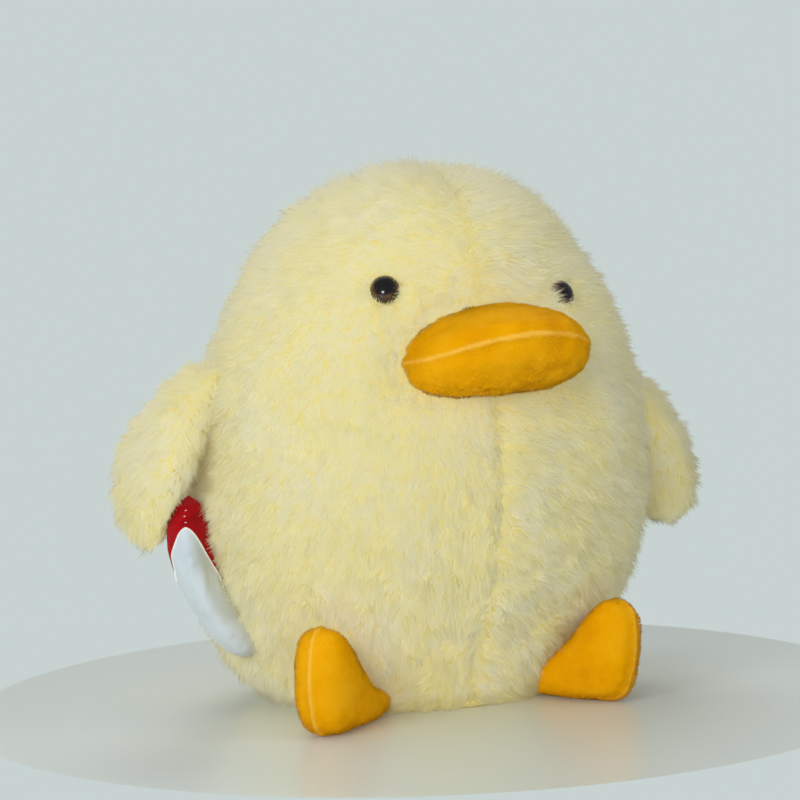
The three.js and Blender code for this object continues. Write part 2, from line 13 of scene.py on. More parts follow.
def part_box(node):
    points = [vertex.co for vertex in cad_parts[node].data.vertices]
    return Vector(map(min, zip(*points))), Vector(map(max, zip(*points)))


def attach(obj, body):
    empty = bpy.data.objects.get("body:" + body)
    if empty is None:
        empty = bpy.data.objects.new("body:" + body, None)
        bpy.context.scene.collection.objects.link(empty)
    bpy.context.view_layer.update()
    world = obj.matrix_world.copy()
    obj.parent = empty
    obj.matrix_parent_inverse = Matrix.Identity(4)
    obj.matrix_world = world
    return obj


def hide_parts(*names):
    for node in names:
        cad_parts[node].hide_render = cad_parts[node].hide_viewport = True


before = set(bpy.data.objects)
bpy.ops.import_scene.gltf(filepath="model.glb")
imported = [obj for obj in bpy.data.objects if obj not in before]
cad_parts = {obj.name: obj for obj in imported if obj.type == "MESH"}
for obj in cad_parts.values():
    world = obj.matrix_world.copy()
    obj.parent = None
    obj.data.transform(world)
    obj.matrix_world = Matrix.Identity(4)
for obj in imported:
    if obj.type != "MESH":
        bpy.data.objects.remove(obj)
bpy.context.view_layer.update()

MM = 0.001
UP = Vector((0, 0, 1))

# Sizes

# Cloth: how finely each skin is made, how many rounds of smoothing and evening it gets, and how
# far at most it is moved to fit
WELD = 0.00001
BODY_VOXEL = 4.5 * MM
LIMB_VOXEL = 2 * MM
KNIFE_VOXEL = 1.4 * MM
BODY_ROUNDS = 10
LIMB_ROUNDS = 8
KNIFE_ROUNDS = 2
BASE_ROUNDS = 2
EVENING = 12
NAP_EVENING = 40
GREATEST_FIT = 2 * MM

# The limbs' rim seams
SEAM_RIDGE_HALF = 0.7 * MM
SEAM_RIDGE_RISE = 0.5 * MM
SEAM_RIDGE_SHARES = (0.8, 1.2)
SEAM_VALLEY_HALF = 2.2 * MM
SEAM_VALLEY_DEPTH = 0.7 * MM
SEAM_VALLEY_PLACE = 1.4 * SEAM_VALLEY_HALF
SEAM_STITCH_PITCH = 2.6 * MM

# Body: from where to where its front, its head and its crown begin
FRONT_FROM = (30 * MM, -10 * MM)
HEAD_FROM = (150 * MM, 185 * MM)
HEAD_NAP_FROM = (150 * MM, 200 * MM)
HEAD_PILE_FROM = (150 * MM, 210 * MM)
CROWN_FROM = (205 * MM, 228 * MM)
ABOVE_BASE = (4 * MM, 22 * MM)
BODY_BANDS = {"base": (0, 62), "belly": (62, 112), "chest": (112, 162), "head": (162, 300)}

# Body: its middle seam, and where limbs and eyes draw its cloth in
GROOVE_HALF = 2.6 * MM
GROOVE_DEPTH = 1.4 * MM
GROOVE_LESS_ON_HEAD = 0.8 * MM
GROOVE_LESS_ON_FACE = 0.5 * MM
SEAM_DRIFT = 6 * MM
SEAM_DRIFT_FROM = (180 * MM, 228 * MM)
PINCH_REACH = 9 * MM
PINCH_DEPTH = 1.6 * MM
PINCH_START = 1 * MM
DIMPLE_REACH = 5 * MM
DIMPLE_DEPTH = 1.2 * MM

# Lumps of the filling: how far apart they are and how high
BODY_LUMP_PITCH = 34 * MM
BODY_LUMP_RISE = 1.7 * MM
FURRY_LUMP_PITCH = 18 * MM
FURRY_LUMP_RISE = 1.6 * MM
NAP_LUMP_PITCH = 16 * MM
NAP_LUMP_RISE = 0.7 * MM

# Long pile of the body, wings and tail, strands in a square metre
FUR_SIZES = {
    "Density": 3.45e6,
    "Length": 9.5 * MM,
    "Width": 0.36 * MM,
    "Lift": 0.52,
    "Lean": 0.5,
    "Tuft": 3.6 * MM,
    "Pull": 0.38,
    "Stray": 0.24,
}

# Short pile of the beak and feet
NAP_SIZES = {
    "Density": 3.2e6,
    "Length": 1.5 * MM,
    "Width": 0.26 * MM,
    "Lift": 0.75,
    "Lean": 0.5,
    "Tuft": 3 * MM,
    "Pull": 0.12,
    "Stray": 0.2,
}

# A strand, in shares of its length and width: where it starts, how thick it is, how it bends,
# and from how little to how much strands differ
STRAND_FOOT = 0.3
STRAND_SIDE = 0.58
BEND_RISE = 0.85
BEND_LEAN = 0.16
BEND_STRAY = 0.3
STRAND_LENGTHS = (0.72, 1.12)
STRAND_WIDTHS = (0.7, 1.2)
FLOOR_CLEARANCE = 0.3 * MM

# How much the light and the tone differ over a tuft, from tuft to tuft and from strand to
# strand, and how much further tufts lean each in their own way than strands do
TUFT_ROUNDNESS = 9 * MM
TUFT_TILT = 0.17
STRAND_TILT = 0.24
TUFT_STRAY = 2.3
TUFT_TONE = 0.6
FLOOR_LIGHT = 0.7

# How the nap wanders from its way: over three sizes at once, and alike at every run
WANDER_SEED = 1
BODY_WANDER = 0.35
NAP_WANDER = 0.8
WANDER_SIZES = (38 * MM, 13 * MM, 6 * MM)

# Which way the body's nap runs: aside, less down, away from the seam, into folds and off the eyes
ASIDE_BELOW = 0.25
ASIDE_MORE_ON_LEFT = 0.5
LESS_DOWN_ON_HEAD = 0.55
LESS_DOWN_AT_BASE = 0.7
PARTED_AT_SEAM = 0.7
LESS_PARTED_ON_FACE = 0.6
INTO_FOLDS = 0.8
FROM_EYE = 1.5
ONTO_EYE = 2.4

# How much of its full length the pile has, and how it stands beside other pieces
BELLY_SHARE = 0.95
LONG_ON_HEAD = 0.15
LONG_ON_CROWN = 0.2
SHORT_AT_SEAM = 0.38
LESS_SHORT_ON_HEAD = 0.2
LESS_SHORT_ON_FACE = 0.13
SHORT_SEAM_HALF = 3.4 * MM
PARTED_SEAM_HALF = 6 * MM
SHORT_AT_FOLD = 0.45
SHORT_AT_BUTTON = 0.2
BUTTON_REACH = 3 * MM
LONG_AT_RING = 0.3
RING_GAP = 2.5 * MM
RING_REACH = 4 * MM
ERECT_AT_EYES = 0.8
ERECT_AT_EYES_REACH = 6 * MM
SHORT_AT_BEAK_AND_FEET = 0.4
BEAK_AND_FEET_REACH = 5 * MM
LONG_AT_HANDLE = 0.5
HANDLE_REACH = 7 * MM
HANDLE_FROM = (62 * MM, 74 * MM)
ERECT_AT_HANDLE = 0.9
ERECT_AT_WINGS = 0.7
LONG_AT_LIMBS = 0.3
LIMB_REACH = 8 * MM
BASE_NAP_FROM = (16 * MM, 4 * MM)

# The bare cloth beside other pieces, and how far away the pile covers it in full
COVER_FROM_FLOOR = (0.5 * MM, 3 * MM)
COVER_FROM_EYES = (0.5 * MM, 1.5 * MM)
COVER_FROM_BEAK_AND_FEET = (0.2 * MM, 1.6 * MM)
FURRY_COVER_FROM_BODY = (0.4 * MM, 2 * MM)
FURRY_COVER_FROM_KNIFE = (0.3 * MM, 1.5 * MM)
NAP_COVER_FROM_BODY = (0.2 * MM, 1 * MM)

# Wings and tail: how evenly they are lit and from which way more, where their tips point, and
# how their lumps and pile start beside seams, the body and the knife
LIMB_ROUNDNESS = 30
LIMB_FACING = {"wing_right": (-0.7, -0.35, 0.2), "wing_left": (0.5, -0.2, 0.1), "tail": (0, 1.4, 0.6)}
LIMB_TIP_WAY = {"wing_right": (0, 0, -1), "wing_left": (0, 0, -1), "tail": (0, 0.8, 0.5)}
FURRY_LUMPS_FROM = (1 * MM, 8 * MM)
FURRY_SHARE = 0.9
FURRY_SEAM_HALF = 3 * MM
SHORT_AT_FURRY_SEAM = 0.08
SHORT_AT_ROOT = 0.25
SHORT_AT_KNIFE = 0.7
FURRY_FULL_FROM = (0, 6 * MM)
FURRY_FULL_FROM_KNIFE = (0, 10 * MM)

# The same for the beak and feet
NAP_ROUNDNESS = 40
NAP_LUMPS_FROM = (0, 6 * MM)
NAP_SEAM_HALF = 1.4 * MM
SHORT_AT_NAP_SEAM = 0.45

# Folds of the belly, as runs of points across (x) and up (z) on its front
FOLD_HALF = 3.2 * MM
FOLD_DEPTH = 2.2 * MM
FOLD_PULL = 2.5
FOLDS = {
    "beside the seam": [(2, 56), (17, 62), (33, 64)],
    "under the belly": [(-27, 22), (-16, 33)],
    "beside the left foot": [(20, 31), (33, 38), (48, 45)],
    "over the right foot": [(-71, 47), (-57, 41), (-46, 33), (-39, 24)],
}

# Eyes, and the ways from which the head's pile lies over each, with how much of it does
PILE_OVER_EYE = {
    "eye_right": [((-0.65, 0.27, -0.71), 0.03)],
    "eye_left": [((-0.65, 0.27, -0.71), 0.32), ((0.1, 0.1, -0.99), 0.22), ((-0.2, 0.1, 0.97), 0.2)],
}
OVER_EYE_WITHIN = (0.3, 0.85)
CLOTH_OVER_EYE = 7.5 * MM
LONG_OVER_EYE = 0.25
SHORT_AROUND_EYE = 0.22
DENSE_OVER_EYE = 12
EYE_SURROUND = 5 * MM
EYE_SIDES = 64
EYE_STEPS = 10
EYE_RADIUS = 6.2 * MM
EYE_RIM = 1.2 * MM
EYE_DOME = 4.2 * MM

# Knife: the slanted seam between its two colours, its own seam, and its blade's form
BOUNDARY_POINT = Vector((-110 * MM, -8 * MM, 58.5 * MM))
BOUNDARY_SLOPE = math.radians(64.5)
KNIFE_TURN = math.radians(20)
KNIFE_ACROSS = (math.sin(KNIFE_TURN), math.cos(KNIFE_TURN), 0)
KNIFE_THROUGH = (math.cos(KNIFE_TURN), -math.sin(KNIFE_TURN), 0)
PIPING_RADIUS = 0.42 * MM
STITCH_COUNT = 3
STITCH_TOP = 91 * MM
STITCH_PITCH = 2.4 * MM
STITCH_LENGTH = 1 * MM
STITCH_THICKNESS = 0.16 * MM
STITCH_LIFT = 0.15 * MM
STITCH_SEARCH = 0.8 * MM
KNOT_PLACE = Vector((-86.8 * MM, -10.9 * MM, 32.2 * MM))
KNOT_RADIUS = 1 * MM
BLADE_FROM = (92 * MM, 80 * MM)
BLADE_ROUNDS = 14
BLADE_SWELL = 0.8 * MM
BLADE_LEAST_SWELL = 0.6 * MM
BLADE_FOLD_RISE = 1.1 * MM
BLADE_FOLD_PITCH = 4.2 * MM
BLADE_FOLD_LENGTH = 26 * MM
BLADE_FOLDS_FROM = (80 * MM, 66 * MM)
BLADE_FOLDS_LOST_AT_TIP = 0.8
BLADE_TIP_FROM = (44 * MM, 34 * MM)
BLADE_TIP_SWELL = 1.9 * MM
BLADE_WAIST_HEIGHT = 46 * MM
BLADE_WAIST_HALF = 9 * MM
BLADE_WAIST = 1 * MM
HANDLE_RIDGE_RISE = 0.45 * MM
HANDLE_RIDGE_HALF = 0.7 * MM
HANDLE_VALLEY_DEPTH = 0.3 * MM
HANDLE_VALLEY_PLACE = 2 * MM
HANDLE_VALLEY_HALF = 1.4 * MM

# Camera: a long lens, a little above the floor, to the duck's right of straight ahead
CAMERA_LENS = 90
CAMERA_AZIMUTH = math.radians(22.5)
CAMERA_PITCH = math.radians(2.2)
CAMERA_ROLL = math.radians(2.1)
CAMERA_DISTANCE = 0.8995
CAMERA_HEIGHT = 0.166
CAMERA_SHIFT_ASIDE = 0.0072

# Floor: its pale near part ends in a round edge, and beyond it the backdrop goes on
FLOOR_HALF = 3.0
FLOOR_RADIUS = 0.203
FLOOR_EDGE = 2 * MM
WORLD_STRENGTH = 0.25

# Lamps: place, size, power, and whether glossy pieces mirror it
LAMP_AIM = Vector((0, 0, 0.11))
LAMPS = {
    "key": ((-1.6, -0.9, 0.8), 1.0, 14.5, False),
    "front": ((-0.3, -1.8, 0.9), 1.4, 1.5, False),
    "low front": ((-0.45, -1.7, 0.12), 1.0, 8, False),
    "right": ((1.3, -1.1, 0.6), 1.0, 6.5, False),
    "top": ((-0.2, 0.0, 1.7), 1.2, 5, False),
    "back": ((0.5, 1.2, 1.5), 1.0, 11, True),
    "low back": ((-0.5, 1.8, 0.5), 1.4, 13, False),
    "near front": ((-0.74, -0.97, 0.391), 0.28, 2.65, False),
    "catch light": ((-0.705, -0.925, 0.378), 0.28, 2.4, True),
}

# The frame's nodes, by the piece that they make up

def limb_nodes(limb):
    return (f"{limb}_outer_panel", f"{limb}_inner_panel")


SKIN_NODES = ("body_skin_right", "body_skin_left")
BEAK_NODES = ("beak_upper_panel", "beak_lower_panel")
TAIL_NODES = ("tail_upper_panel", "tail_lower_panel")
EYE_NODES = ("eye_right", "eye_left")
HANDLE_NODES = limb_nodes("knife_handle")
BLADE_NODES = limb_nodes("knife_blade")
KNIFE_NODES = HANDLE_NODES + BLADE_NODES
BESIDE_BODY = {
    "beak": BEAK_NODES,
    "eyes": EYE_NODES,
    "feet": limb_nodes("foot_right") + limb_nodes("foot_left"),
    "wings": limb_nodes("wing_right") + limb_nodes("wing_left"),
    "tail": TAIL_NODES,
    "knife": KNIFE_NODES,
}


# Colours, written as they are seen

def seen(red, green, blue):
    """A colour as it is seen on a screen, from 0 to 255, in the values that light adds up in"""
    shares = [value / 255 for value in (red, green, blue)]
    return tuple(s / 12.92 if s <= 0.04045 else ((s + 0.055) / 1.055) ** 2.4 for s in shares)


# Roots and the backing under them are darker and yellower than the tips: partly the cloth's own colour,
# partly painted shade in the gaps between strands and in folds, as the pile throws no shadow
FUR_ROOT_AND_GAP_SHADE = seen(228, 208, 116)
FUR_MIDDLE = seen(230, 217, 146)
FUR_TIP = seen(226, 222, 197)
FUR_BACKING_AND_GAP_SHADE = seen(226, 206, 124)
# Painted shade of the pile close to the floor
FUR_FLOOR_SHADE = seen(176, 160, 92)
ORANGE_DEEP = seen(212, 136, 0)
ORANGE = seen(228, 157, 0)
ORANGE_LIGHT = seen(238, 172, 22)
ORANGE_SEAM = seen(250, 200, 92)
RED_DEEP = seen(124, 2, 12)
RED = seen(164, 5, 18)
SATIN = seen(204, 214, 217)
SATIN_SHADE = seen(180, 191, 196)
THREAD = seen(238, 238, 232)
EYE_BLACK = seen(12, 9, 8)
EYE_BROWN = seen(92, 56, 22)
WASHER = seen(226, 226, 218)
FIBRE = seen(244, 244, 240)
FLOOR = seen(214, 220, 210)
LAMP_TONE = (0.98, 0.99, 1.04)
WORLD_TONE = (0.86, 0.93, 1.0)
BACKDROP = seen(200, 211, 209)


# Nodes

def put(tree, kind, settings=None, inputs=None):
    """A node in a tree, with its settings, and its inputs set to values or linked to sockets"""
    node = tree.nodes.new(kind)
    for name, value in (settings or {}).items():
        setattr(node, name, value)
    for key, value in (inputs or {}).items():
        if isinstance(value, bpy.types.NodeSocket):
            tree.links.new(value, node.inputs[key])
        else:
            node.inputs[key].default_value = value
    return node


def math_node(tree, operation, *values):
    kind = "ShaderNodeMath"
    return put(tree, kind, {"operation": operation}, dict(enumerate(values))).outputs[0]


def vector_node(tree, operation, *values):
    node = put(tree, "ShaderNodeVectorMath", {"operation": operation}, dict(enumerate(values)))
    return node.outputs["Value" if operation in ("LENGTH", "DISTANCE", "DOT_PRODUCT") else "Vector"]


def scaled(tree, vector, factor):
    node = put(tree, "ShaderNodeVectorMath", {"operation": "SCALE"}, {0: vector, "Scale": factor})
    return node.outputs["Vector"]


def summed(tree, *vectors):
    total = vectors[0]
    for vector in vectors[1:]:
        total = vector_node(tree, "ADD", total, vector)
    return total


def mixed(tree, share, low, high):
    """A colour between two by a share, where each colour is a socket or red, green and blue"""
    node = put(tree, "ShaderNodeMix", {"data_type": "RGBA"})
    sockets = {socket.identifier: socket for socket in node.inputs}
    tree.links.new(share, sockets["Factor_Float"])
    for label, color in (("A_Color", low), ("B_Color", high)):
        set_color(tree, sockets[label], color)
    return next(socket for socket in node.outputs if socket.identifier == "Result_Color")


def set_color(tree, socket, color):
    if isinstance(color, bpy.types.NodeSocket):
        tree.links.new(color, socket)
    else:
        socket.default_value = (*color, 1)


def spread(tree, value, low, high):
    """A value's place between two limits, kept from 0 to 1"""
    inputs = {"Value": value, "From Min": low, "From Max": high}
    return put(tree, "ShaderNodeMapRange", {"clamp": True}, inputs).outputs[0]


def noise_value(tree, vector, scale, detail=3.0, roughness=0.5):
    inputs = {"Vector": vector, "Scale": scale, "Detail": detail, "Roughness": roughness}
    return put(tree, "ShaderNodeTexNoise", None, inputs).outputs[0]


def new_group(name, inputs, outputs):
    """An empty shader node group with named inputs and outputs, and its two end nodes"""
    group = bpy.data.node_groups.new(name, "ShaderNodeTree")
    for label, kind in inputs:
        group.interface.new_socket(label, in_out="INPUT", socket_type=f"NodeSocket{kind}")
    for label, kind in outputs:
        group.interface.new_socket(label, in_out="OUTPUT", socket_type=f"NodeSocket{kind}")
    return group, group.nodes.new("NodeGroupInput").outputs, group.nodes.new("NodeGroupOutput").inputs


# Shared effects

def mottle_group():
    """Cloth seldom has one tone: broad patches and fine specks, each between two colours"""
    inputs = [("Coords", "Vector"), ("Base", "Color"), ("Light", "Color"), ("Dark", "Color")]
    inputs += [("Patch scale", "Float"), ("Speck scale", "Float"), ("Amount", "Float")]
    group, given, out = new_group("Mottle", inputs, [("Color", "Color"), ("Height", "Float")])
    patches = noise_value(group, given["Coords"], given["Patch scale"], 2.0)
    specks = noise_value(group, given["Coords"], given["Speck scale"], 3.0, 0.6)
    light = math_node(group, "MULTIPLY", spread(group, patches, 0.5, 0.68), given["Amount"])
    dark = math_node(group, "MULTIPLY", spread(group, patches, 0.5, 0.34), given["Amount"])
    fine = math_node(group, "MULTIPLY", spread(group, specks, 0.45, 0.75), given["Amount"])
    color = mixed(group, light, given["Base"], given["Light"])
    color = mixed(group, dark, color, given["Dark"])
    color = mixed(group, math_node(group, "MULTIPLY", fine, 0.5), color, given["Light"])
    group.links.new(color, out["Color"])
    group.links.new(specks, out["Height"])
    return group


MOTTLE = mottle_group()


def new_material(name, **settings):
    """A material, its tree, and its shader with numbers set on the shader's own sockets"""
    material = bpy.data.materials.new(name)
    material.use_nodes = True
    tree = material.node_tree
    shader = tree.nodes["Principled BSDF"]
    for label, value in settings.items():
        shader.inputs[label.replace("_", " ")].default_value = value
    return material, tree, shader


def object_coords(tree):
    return put(tree, "ShaderNodeTexCoord").outputs["Object"]


def mottled(tree, coords, colors, patch_scale, speck_scale, amount):
    """The mottle group in a material, between a base, a light and a dark colour"""
    inputs = {"Coords": coords, "Patch scale": patch_scale, "Speck scale": speck_scale, "Amount": amount}
    node = put(tree, "ShaderNodeGroup", {"node_tree": MOTTLE}, inputs)
    for label, color in zip(("Base", "Light", "Dark"), colors):
        set_color(tree, node.inputs[label], color)
    return node.outputs


def bumped(tree, shader, height, distance):
    inputs = {"Height": height, "Distance": distance, "Strength": 1.0}
    tree.links.new(put(tree, "ShaderNodeBump", None, inputs).outputs[0], shader.inputs["Normal"])


def strand_material(name, root, middle, tip, patch_scale, amount, floor_shade_tone, **settings):
    """Pile: its colour runs from root to tip, with roots darker and yellower, partly their own colour and
    partly painted shade between strands. No two strands have quite the same tone, and it is painted darker
    close to the floor, as painted shade where the floor meets it"""
    material, tree, shader = new_material(name, **settings)
    uv = put(tree, "ShaderNodeUVMap", {"uv_map": "OFBake"}).outputs[0]
    split = put(tree, "ShaderNodeSeparateXYZ", None, {0: uv}).outputs
    # Painted shade: the darker root colour also stands for the shade deep in the pile
    low = mixed(tree, spread(tree, split["Y"], 0.0, 0.45), root, middle)
    color = mixed(tree, spread(tree, split["Y"], 0.4, 1.0), low, tip)
    warm = mixed(tree, math_node(tree, "MULTIPLY", split["X"], 0.7), color, middle)
    out = mottled(tree, object_coords(tree), (warm, tip, middle), patch_scale, patch_scale * 5, amount)
    height = put(tree, "ShaderNodeSeparateXYZ", None, {0: object_coords(tree)}).outputs["Z"]
    # Painted shade: the pile is darkened towards the floor, where shade falls on it
    low = math_node(tree, "MULTIPLY", spread(tree, height, 9 * MM, 0.0), 0.55)
    tree.links.new(mixed(tree, low, out["Color"], floor_shade_tone), shader.inputs["Base Color"])
    return material


def cloth_material(name, colors, patch_scale, speck_scale, amount, bump, **settings):
    """Plain or short-pile cloth"""
    material, tree, shader = new_material(name, **settings)
    out = mottled(tree, object_coords(tree), colors, patch_scale, speck_scale, amount)
    tree.links.new(out["Color"], shader.inputs["Base Color"])
    bumped(tree, shader, out["Height"], bump)
    return material


def seamed_material(name, colors, seam_color, **settings):
    """Short-pile cloth whose panels meet at a pale seam, which the mesh's own seam values follow"""
    material, tree, shader = new_material(name, **settings)
    out = mottled(tree, object_coords(tree), colors, 55.0, 700.0, 0.7)
    seam = put(tree, "ShaderNodeAttribute", {"attribute_name": "seam"}).outputs["Fac"]
    color = mixed(tree, math_node(tree, "MULTIPLY", seam, 0.6), out["Color"], seam_color)
    tree.links.new(color, shader.inputs["Base Color"])
    bumped(tree, shader, out["Height"], 0.2 * MM)
    return material


def eye_material():
    """A black button with a brown ring inside its edge, under clear gloss"""
    material, tree, shader = new_material(
        "eye gloss", Roughness=0.25, Specular_IOR_Level=0.2, Coat_Weight=1.0, Coat_Roughness=0.03)
    rim = put(tree, "ShaderNodeAttribute", {"attribute_name": "rim"}).outputs["Fac"]
    cloudy = noise_value(tree, object_coords(tree), 420.0)
    ring = math_node(tree, "MULTIPLY", spread(tree, rim, 0.62, 0.8), spread(tree, rim, 1.0, 0.86))
    ring = math_node(tree, "MULTIPLY", ring, spread(tree, cloudy, 0.3, 0.6))
    tree.links.new(mixed(tree, ring, EYE_BLACK, EYE_BROWN), shader.inputs["Base Color"])
    return material


FUR = strand_material("fur pile", FUR_ROOT_AND_GAP_SHADE, FUR_MIDDLE, FUR_TIP, 34.0, 0.35, FUR_FLOOR_SHADE,
                      Roughness=0.75, Specular_IOR_Level=0.2, Sheen_Weight=0.15)
# Close to the floor the nap is painted deep orange, as painted shade
NAP = strand_material("orange nap", ORANGE_DEEP, ORANGE, ORANGE_LIGHT, 70.0, 0.8, ORANGE_DEEP,
                      Roughness=0.7, Specular_IOR_Level=0.03, Sheen_Weight=0.08,
                      Sheen_Tint=(*ORANGE_LIGHT, 1))
# The backing shows between strands: its darker yellow is partly its own colour, partly painted shade
BACKING = cloth_material("fur backing", (FUR_BACKING_AND_GAP_SHADE, FUR_MIDDLE, FUR_ROOT_AND_GAP_SHADE), 30.0, 500.0, 0.5, 0.3 * MM,
                         Roughness=0.9, Sheen_Weight=0.1)
VELBOA = seamed_material("orange velboa", (ORANGE, ORANGE_LIGHT, ORANGE_DEEP), ORANGE_SEAM, Roughness=0.8,
                         Specular_IOR_Level=0.03, Sheen_Weight=0.06, Sheen_Tint=(*ORANGE_LIGHT, 1))
HANDLE = cloth_material("handle cloth", (RED, RED, RED_DEEP), 90.0, 1100.0, 0.8, 0.12 * MM,
                        Roughness=0.8, Specular_IOR_Level=0.15, Sheen_Weight=0.04)
BLADE = cloth_material("blade satin", (SATIN, SATIN, SATIN_SHADE), 60.0, 900.0, 0.5, 0.05 * MM,
                       Roughness=0.42, Sheen_Weight=0.2)
PIPING = cloth_material("white thread", (THREAD, THREAD, SATIN_SHADE), 300.0, 2200.0, 0.4, 0.05 * MM,
                        Roughness=0.7)
EYE = eye_material()
WASHER_PLASTIC = cloth_material("washer plastic", (WASHER, WASHER, SATIN_SHADE), 60.0, 900.0, 0.3,
                                0.02 * MM, Roughness=0.45)
FIBRE_FILL = cloth_material("loose fibre", (FIBRE, FIBRE, SATIN), 80.0, 600.0, 0.6, 1 * MM, Roughness=0.95)


# Meshes

def new_object(name, mesh):
    piece = bpy.data.objects.new(name, mesh)
    bpy.context.scene.collection.objects.link(piece)
    return piece


def finished_mesh(piece):
    """The piece's mesh with its modifiers' work in it"""
    depsgraph = bpy.context.evaluated_depsgraph_get()
    return bpy.data.meshes.new_from_object(
        piece.evaluated_get(depsgraph), preserve_all_data_layers=True, depsgraph=depsgraph)


def settle(piece):
    """Puts the modifiers' work into the piece's own mesh"""
    mesh = finished_mesh(piece)
    piece.modifiers.clear()
    old = piece.data
    piece.data = mesh
    bpy.data.meshes.remove(old)


def run_tree(piece, tree, **values):
    """Puts the work of a geometry tree, with values for its inputs, into the piece's own mesh"""
    modifier = piece.modifiers.new(tree.name, "NODES")
    modifier.node_group = tree
    for item in tree.interface.items_tree:
        if item.in_out == "INPUT" and item.name in values:
            modifier[item.identifier] = values[item.name]
    settle(piece)


def places(mesh):
    values = np.empty(len(mesh.vertices) * 3)
    mesh.vertices.foreach_get("co", values)
    return values.reshape(-1, 3)


def directions(mesh):
    """The direction out of the surface at each vertex"""
    values = np.empty(len(mesh.vertices) * 3)
    mesh.vertex_normals.foreach_get("vector", values)
    return values.reshape(-1, 3)


def place_all(mesh, values):
    mesh.vertices.foreach_set("co", values.ravel())
    mesh.update()


def keep_values(mesh, name, values):
    """Stores a number or a vector for each vertex"""
    flat = np.asarray(values, np.float32)
    kind, field = ("FLOAT", "value") if flat.ndim == 1 else ("FLOAT_VECTOR", "vector")
    layer = mesh.attributes.get(name) or mesh.attributes.new(name, kind, "POINT")
    layer.data.foreach_set(field, flat.ravel())


def nodes_tree(nodes):
    """A search tree of the surfaces of some of the frame's nodes"""
    vertices, faces = [], []
    for node in nodes:
        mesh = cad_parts[node].data
        start = len(vertices)
        vertices += [vertex.co.copy() for vertex in mesh.vertices]
        faces += [[start + corner for corner in face.vertices] for face in mesh.polygons]
    return BVHTree.FromPolygons(vertices, faces)


def distances(points, tree):
    return np.array([tree.find_nearest(Vector(point))[3] for point in points])


def stuffed_skin(name, nodes, voxel, rounds, even=EVENING):
    """One smooth closed skin over the nodes' outside, as large as they are"""
    mesh = bpy.data.meshes.new(name)
    joined = bmesh.new()
    for node in nodes:
        joined.from_mesh(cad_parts[node].data)
    bmesh.ops.remove_doubles(joined, verts=joined.verts, dist=WELD)
    joined.to_mesh(mesh)
    joined.free()
    skin = new_object(name, mesh)
    remesh = skin.modifiers.new("Remesh", "REMESH")
    remesh.mode = "VOXEL"
    remesh.voxel_size = voxel
    settle(skin)
    keep_outside(skin.data)
    smooth = skin.modifiers.new("Smooth", "SMOOTH")
    smooth.factor = 0.5
    smooth.iterations = rounds
    finer = skin.modifiers.new("Finer", "SUBSURF")
    finer.levels = finer.render_levels = 1
    settle(skin)
    fit_to(skin.data, nodes_tree(nodes), even)
    skin.data.shade_smooth()
    return skin


def keep_outside(mesh):
    """Drops the closed pockets inside, so only the skin with the widest reach stays"""
    whole = bmesh.new()
    whole.from_mesh(mesh)
    left, islands = set(whole.verts), []
    while left:
        start = left.pop()
        island, edge_of = {start}, [start]
        while edge_of:
            for edge in edge_of.pop().link_edges:
                for vertex in edge.verts:
                    if vertex in left:
                        left.discard(vertex)
                        island.add(vertex)
                        edge_of.append(vertex)
        islands.append(island)
    outside = max(islands, key=len)
    gone = [vertex for vertex in whole.verts if vertex not in outside]
    bmesh.ops.delete(whole, geom=gone, context="VERTS")
    whole.to_mesh(mesh)
    whole.free()


def fit_to(mesh, tree, even):
    """Moves a smoothed skin out again by what the smoothing took, and evens the result"""
    points, outward = places(mesh), directions(mesh)
    gaps = np.empty(len(points))
    for index, (point, direction) in enumerate(zip(points, outward)):
        nearest = tree.find_nearest(Vector(point))[0]
        gaps[index] = (np.array(nearest) - point) @ direction
    gaps = np.clip(gaps, -GREATEST_FIT, GREATEST_FIT)
    place_all(mesh, points + outward * spread_out(gaps, edge_ends(mesh), even)[:, None])


def edge_ends(mesh):
    edges = np.empty(len(mesh.edges) * 2, int)
    mesh.edges.foreach_get("vertices", edges)
    return edges.reshape(-1, 2)


def spread_out(values, edges, rounds):
    """Evens the values of neighbouring vertices"""
    count = np.bincount(edges.ravel(), minlength=len(values)).clip(1)
    for _ in range(rounds):
        total = np.bincount(edges[:, 0], values[edges[:, 1]], len(values))
        total += np.bincount(edges[:, 1], values[edges[:, 0]], len(values))
        values = 0.5 * values + 0.5 * total / count
    return values


def evened(mesh, vectors, rounds):
    """Evens a vector over neighbouring vertices"""
    return np.stack([spread_out(vectors[:, axis], edge_ends(mesh), rounds) for axis in range(3)], axis=1)


def hump(distance, half):
    """1 on a line, falling to nothing about twice the half width away from it"""
    return np.exp(-(distance / half) ** 2)


def smooth_step(limits, values):
    """0 up to the first limit and 1 from the second, with a smooth step between them"""
    low, high = limits
    share = np.clip((values - low) / (high - low), 0, 1)
    return share * share * (3 - 2 * share)


def lumps(points, pitch):
    """The filling's lumps, from about -1 to 1"""
    return np.array([noise.noise(Vector(point) / pitch) for point in points])


def line_gaps(points, line):
    """How far points are from a run of straight lines, and the way there, across and up"""
    flat = points[:, [0, 2]]
    best, way = np.full(len(flat), np.inf), np.zeros_like(flat)
    for first, second in zip(line, line[1:]):
        start, run = np.array(first) * MM, (np.array(second) - first) * MM
        share = np.clip((flat - start) @ run / (run @ run), 0, 1)
        offset = start + share[:, None] * run - flat
        gap = np.linalg.norm(offset, axis=1)
        closer = gap < best
        best[closer], way[closer] = gap[closer], offset[closer]
    return best, way / best.clip(0.1 * MM)[:, None]


def push(piece, heights):
    """Moves each vertex straight out of the surface"""
    mesh = piece.data
    place_all(mesh, places(mesh) + directions(mesh) * np.asarray(heights)[:, None])


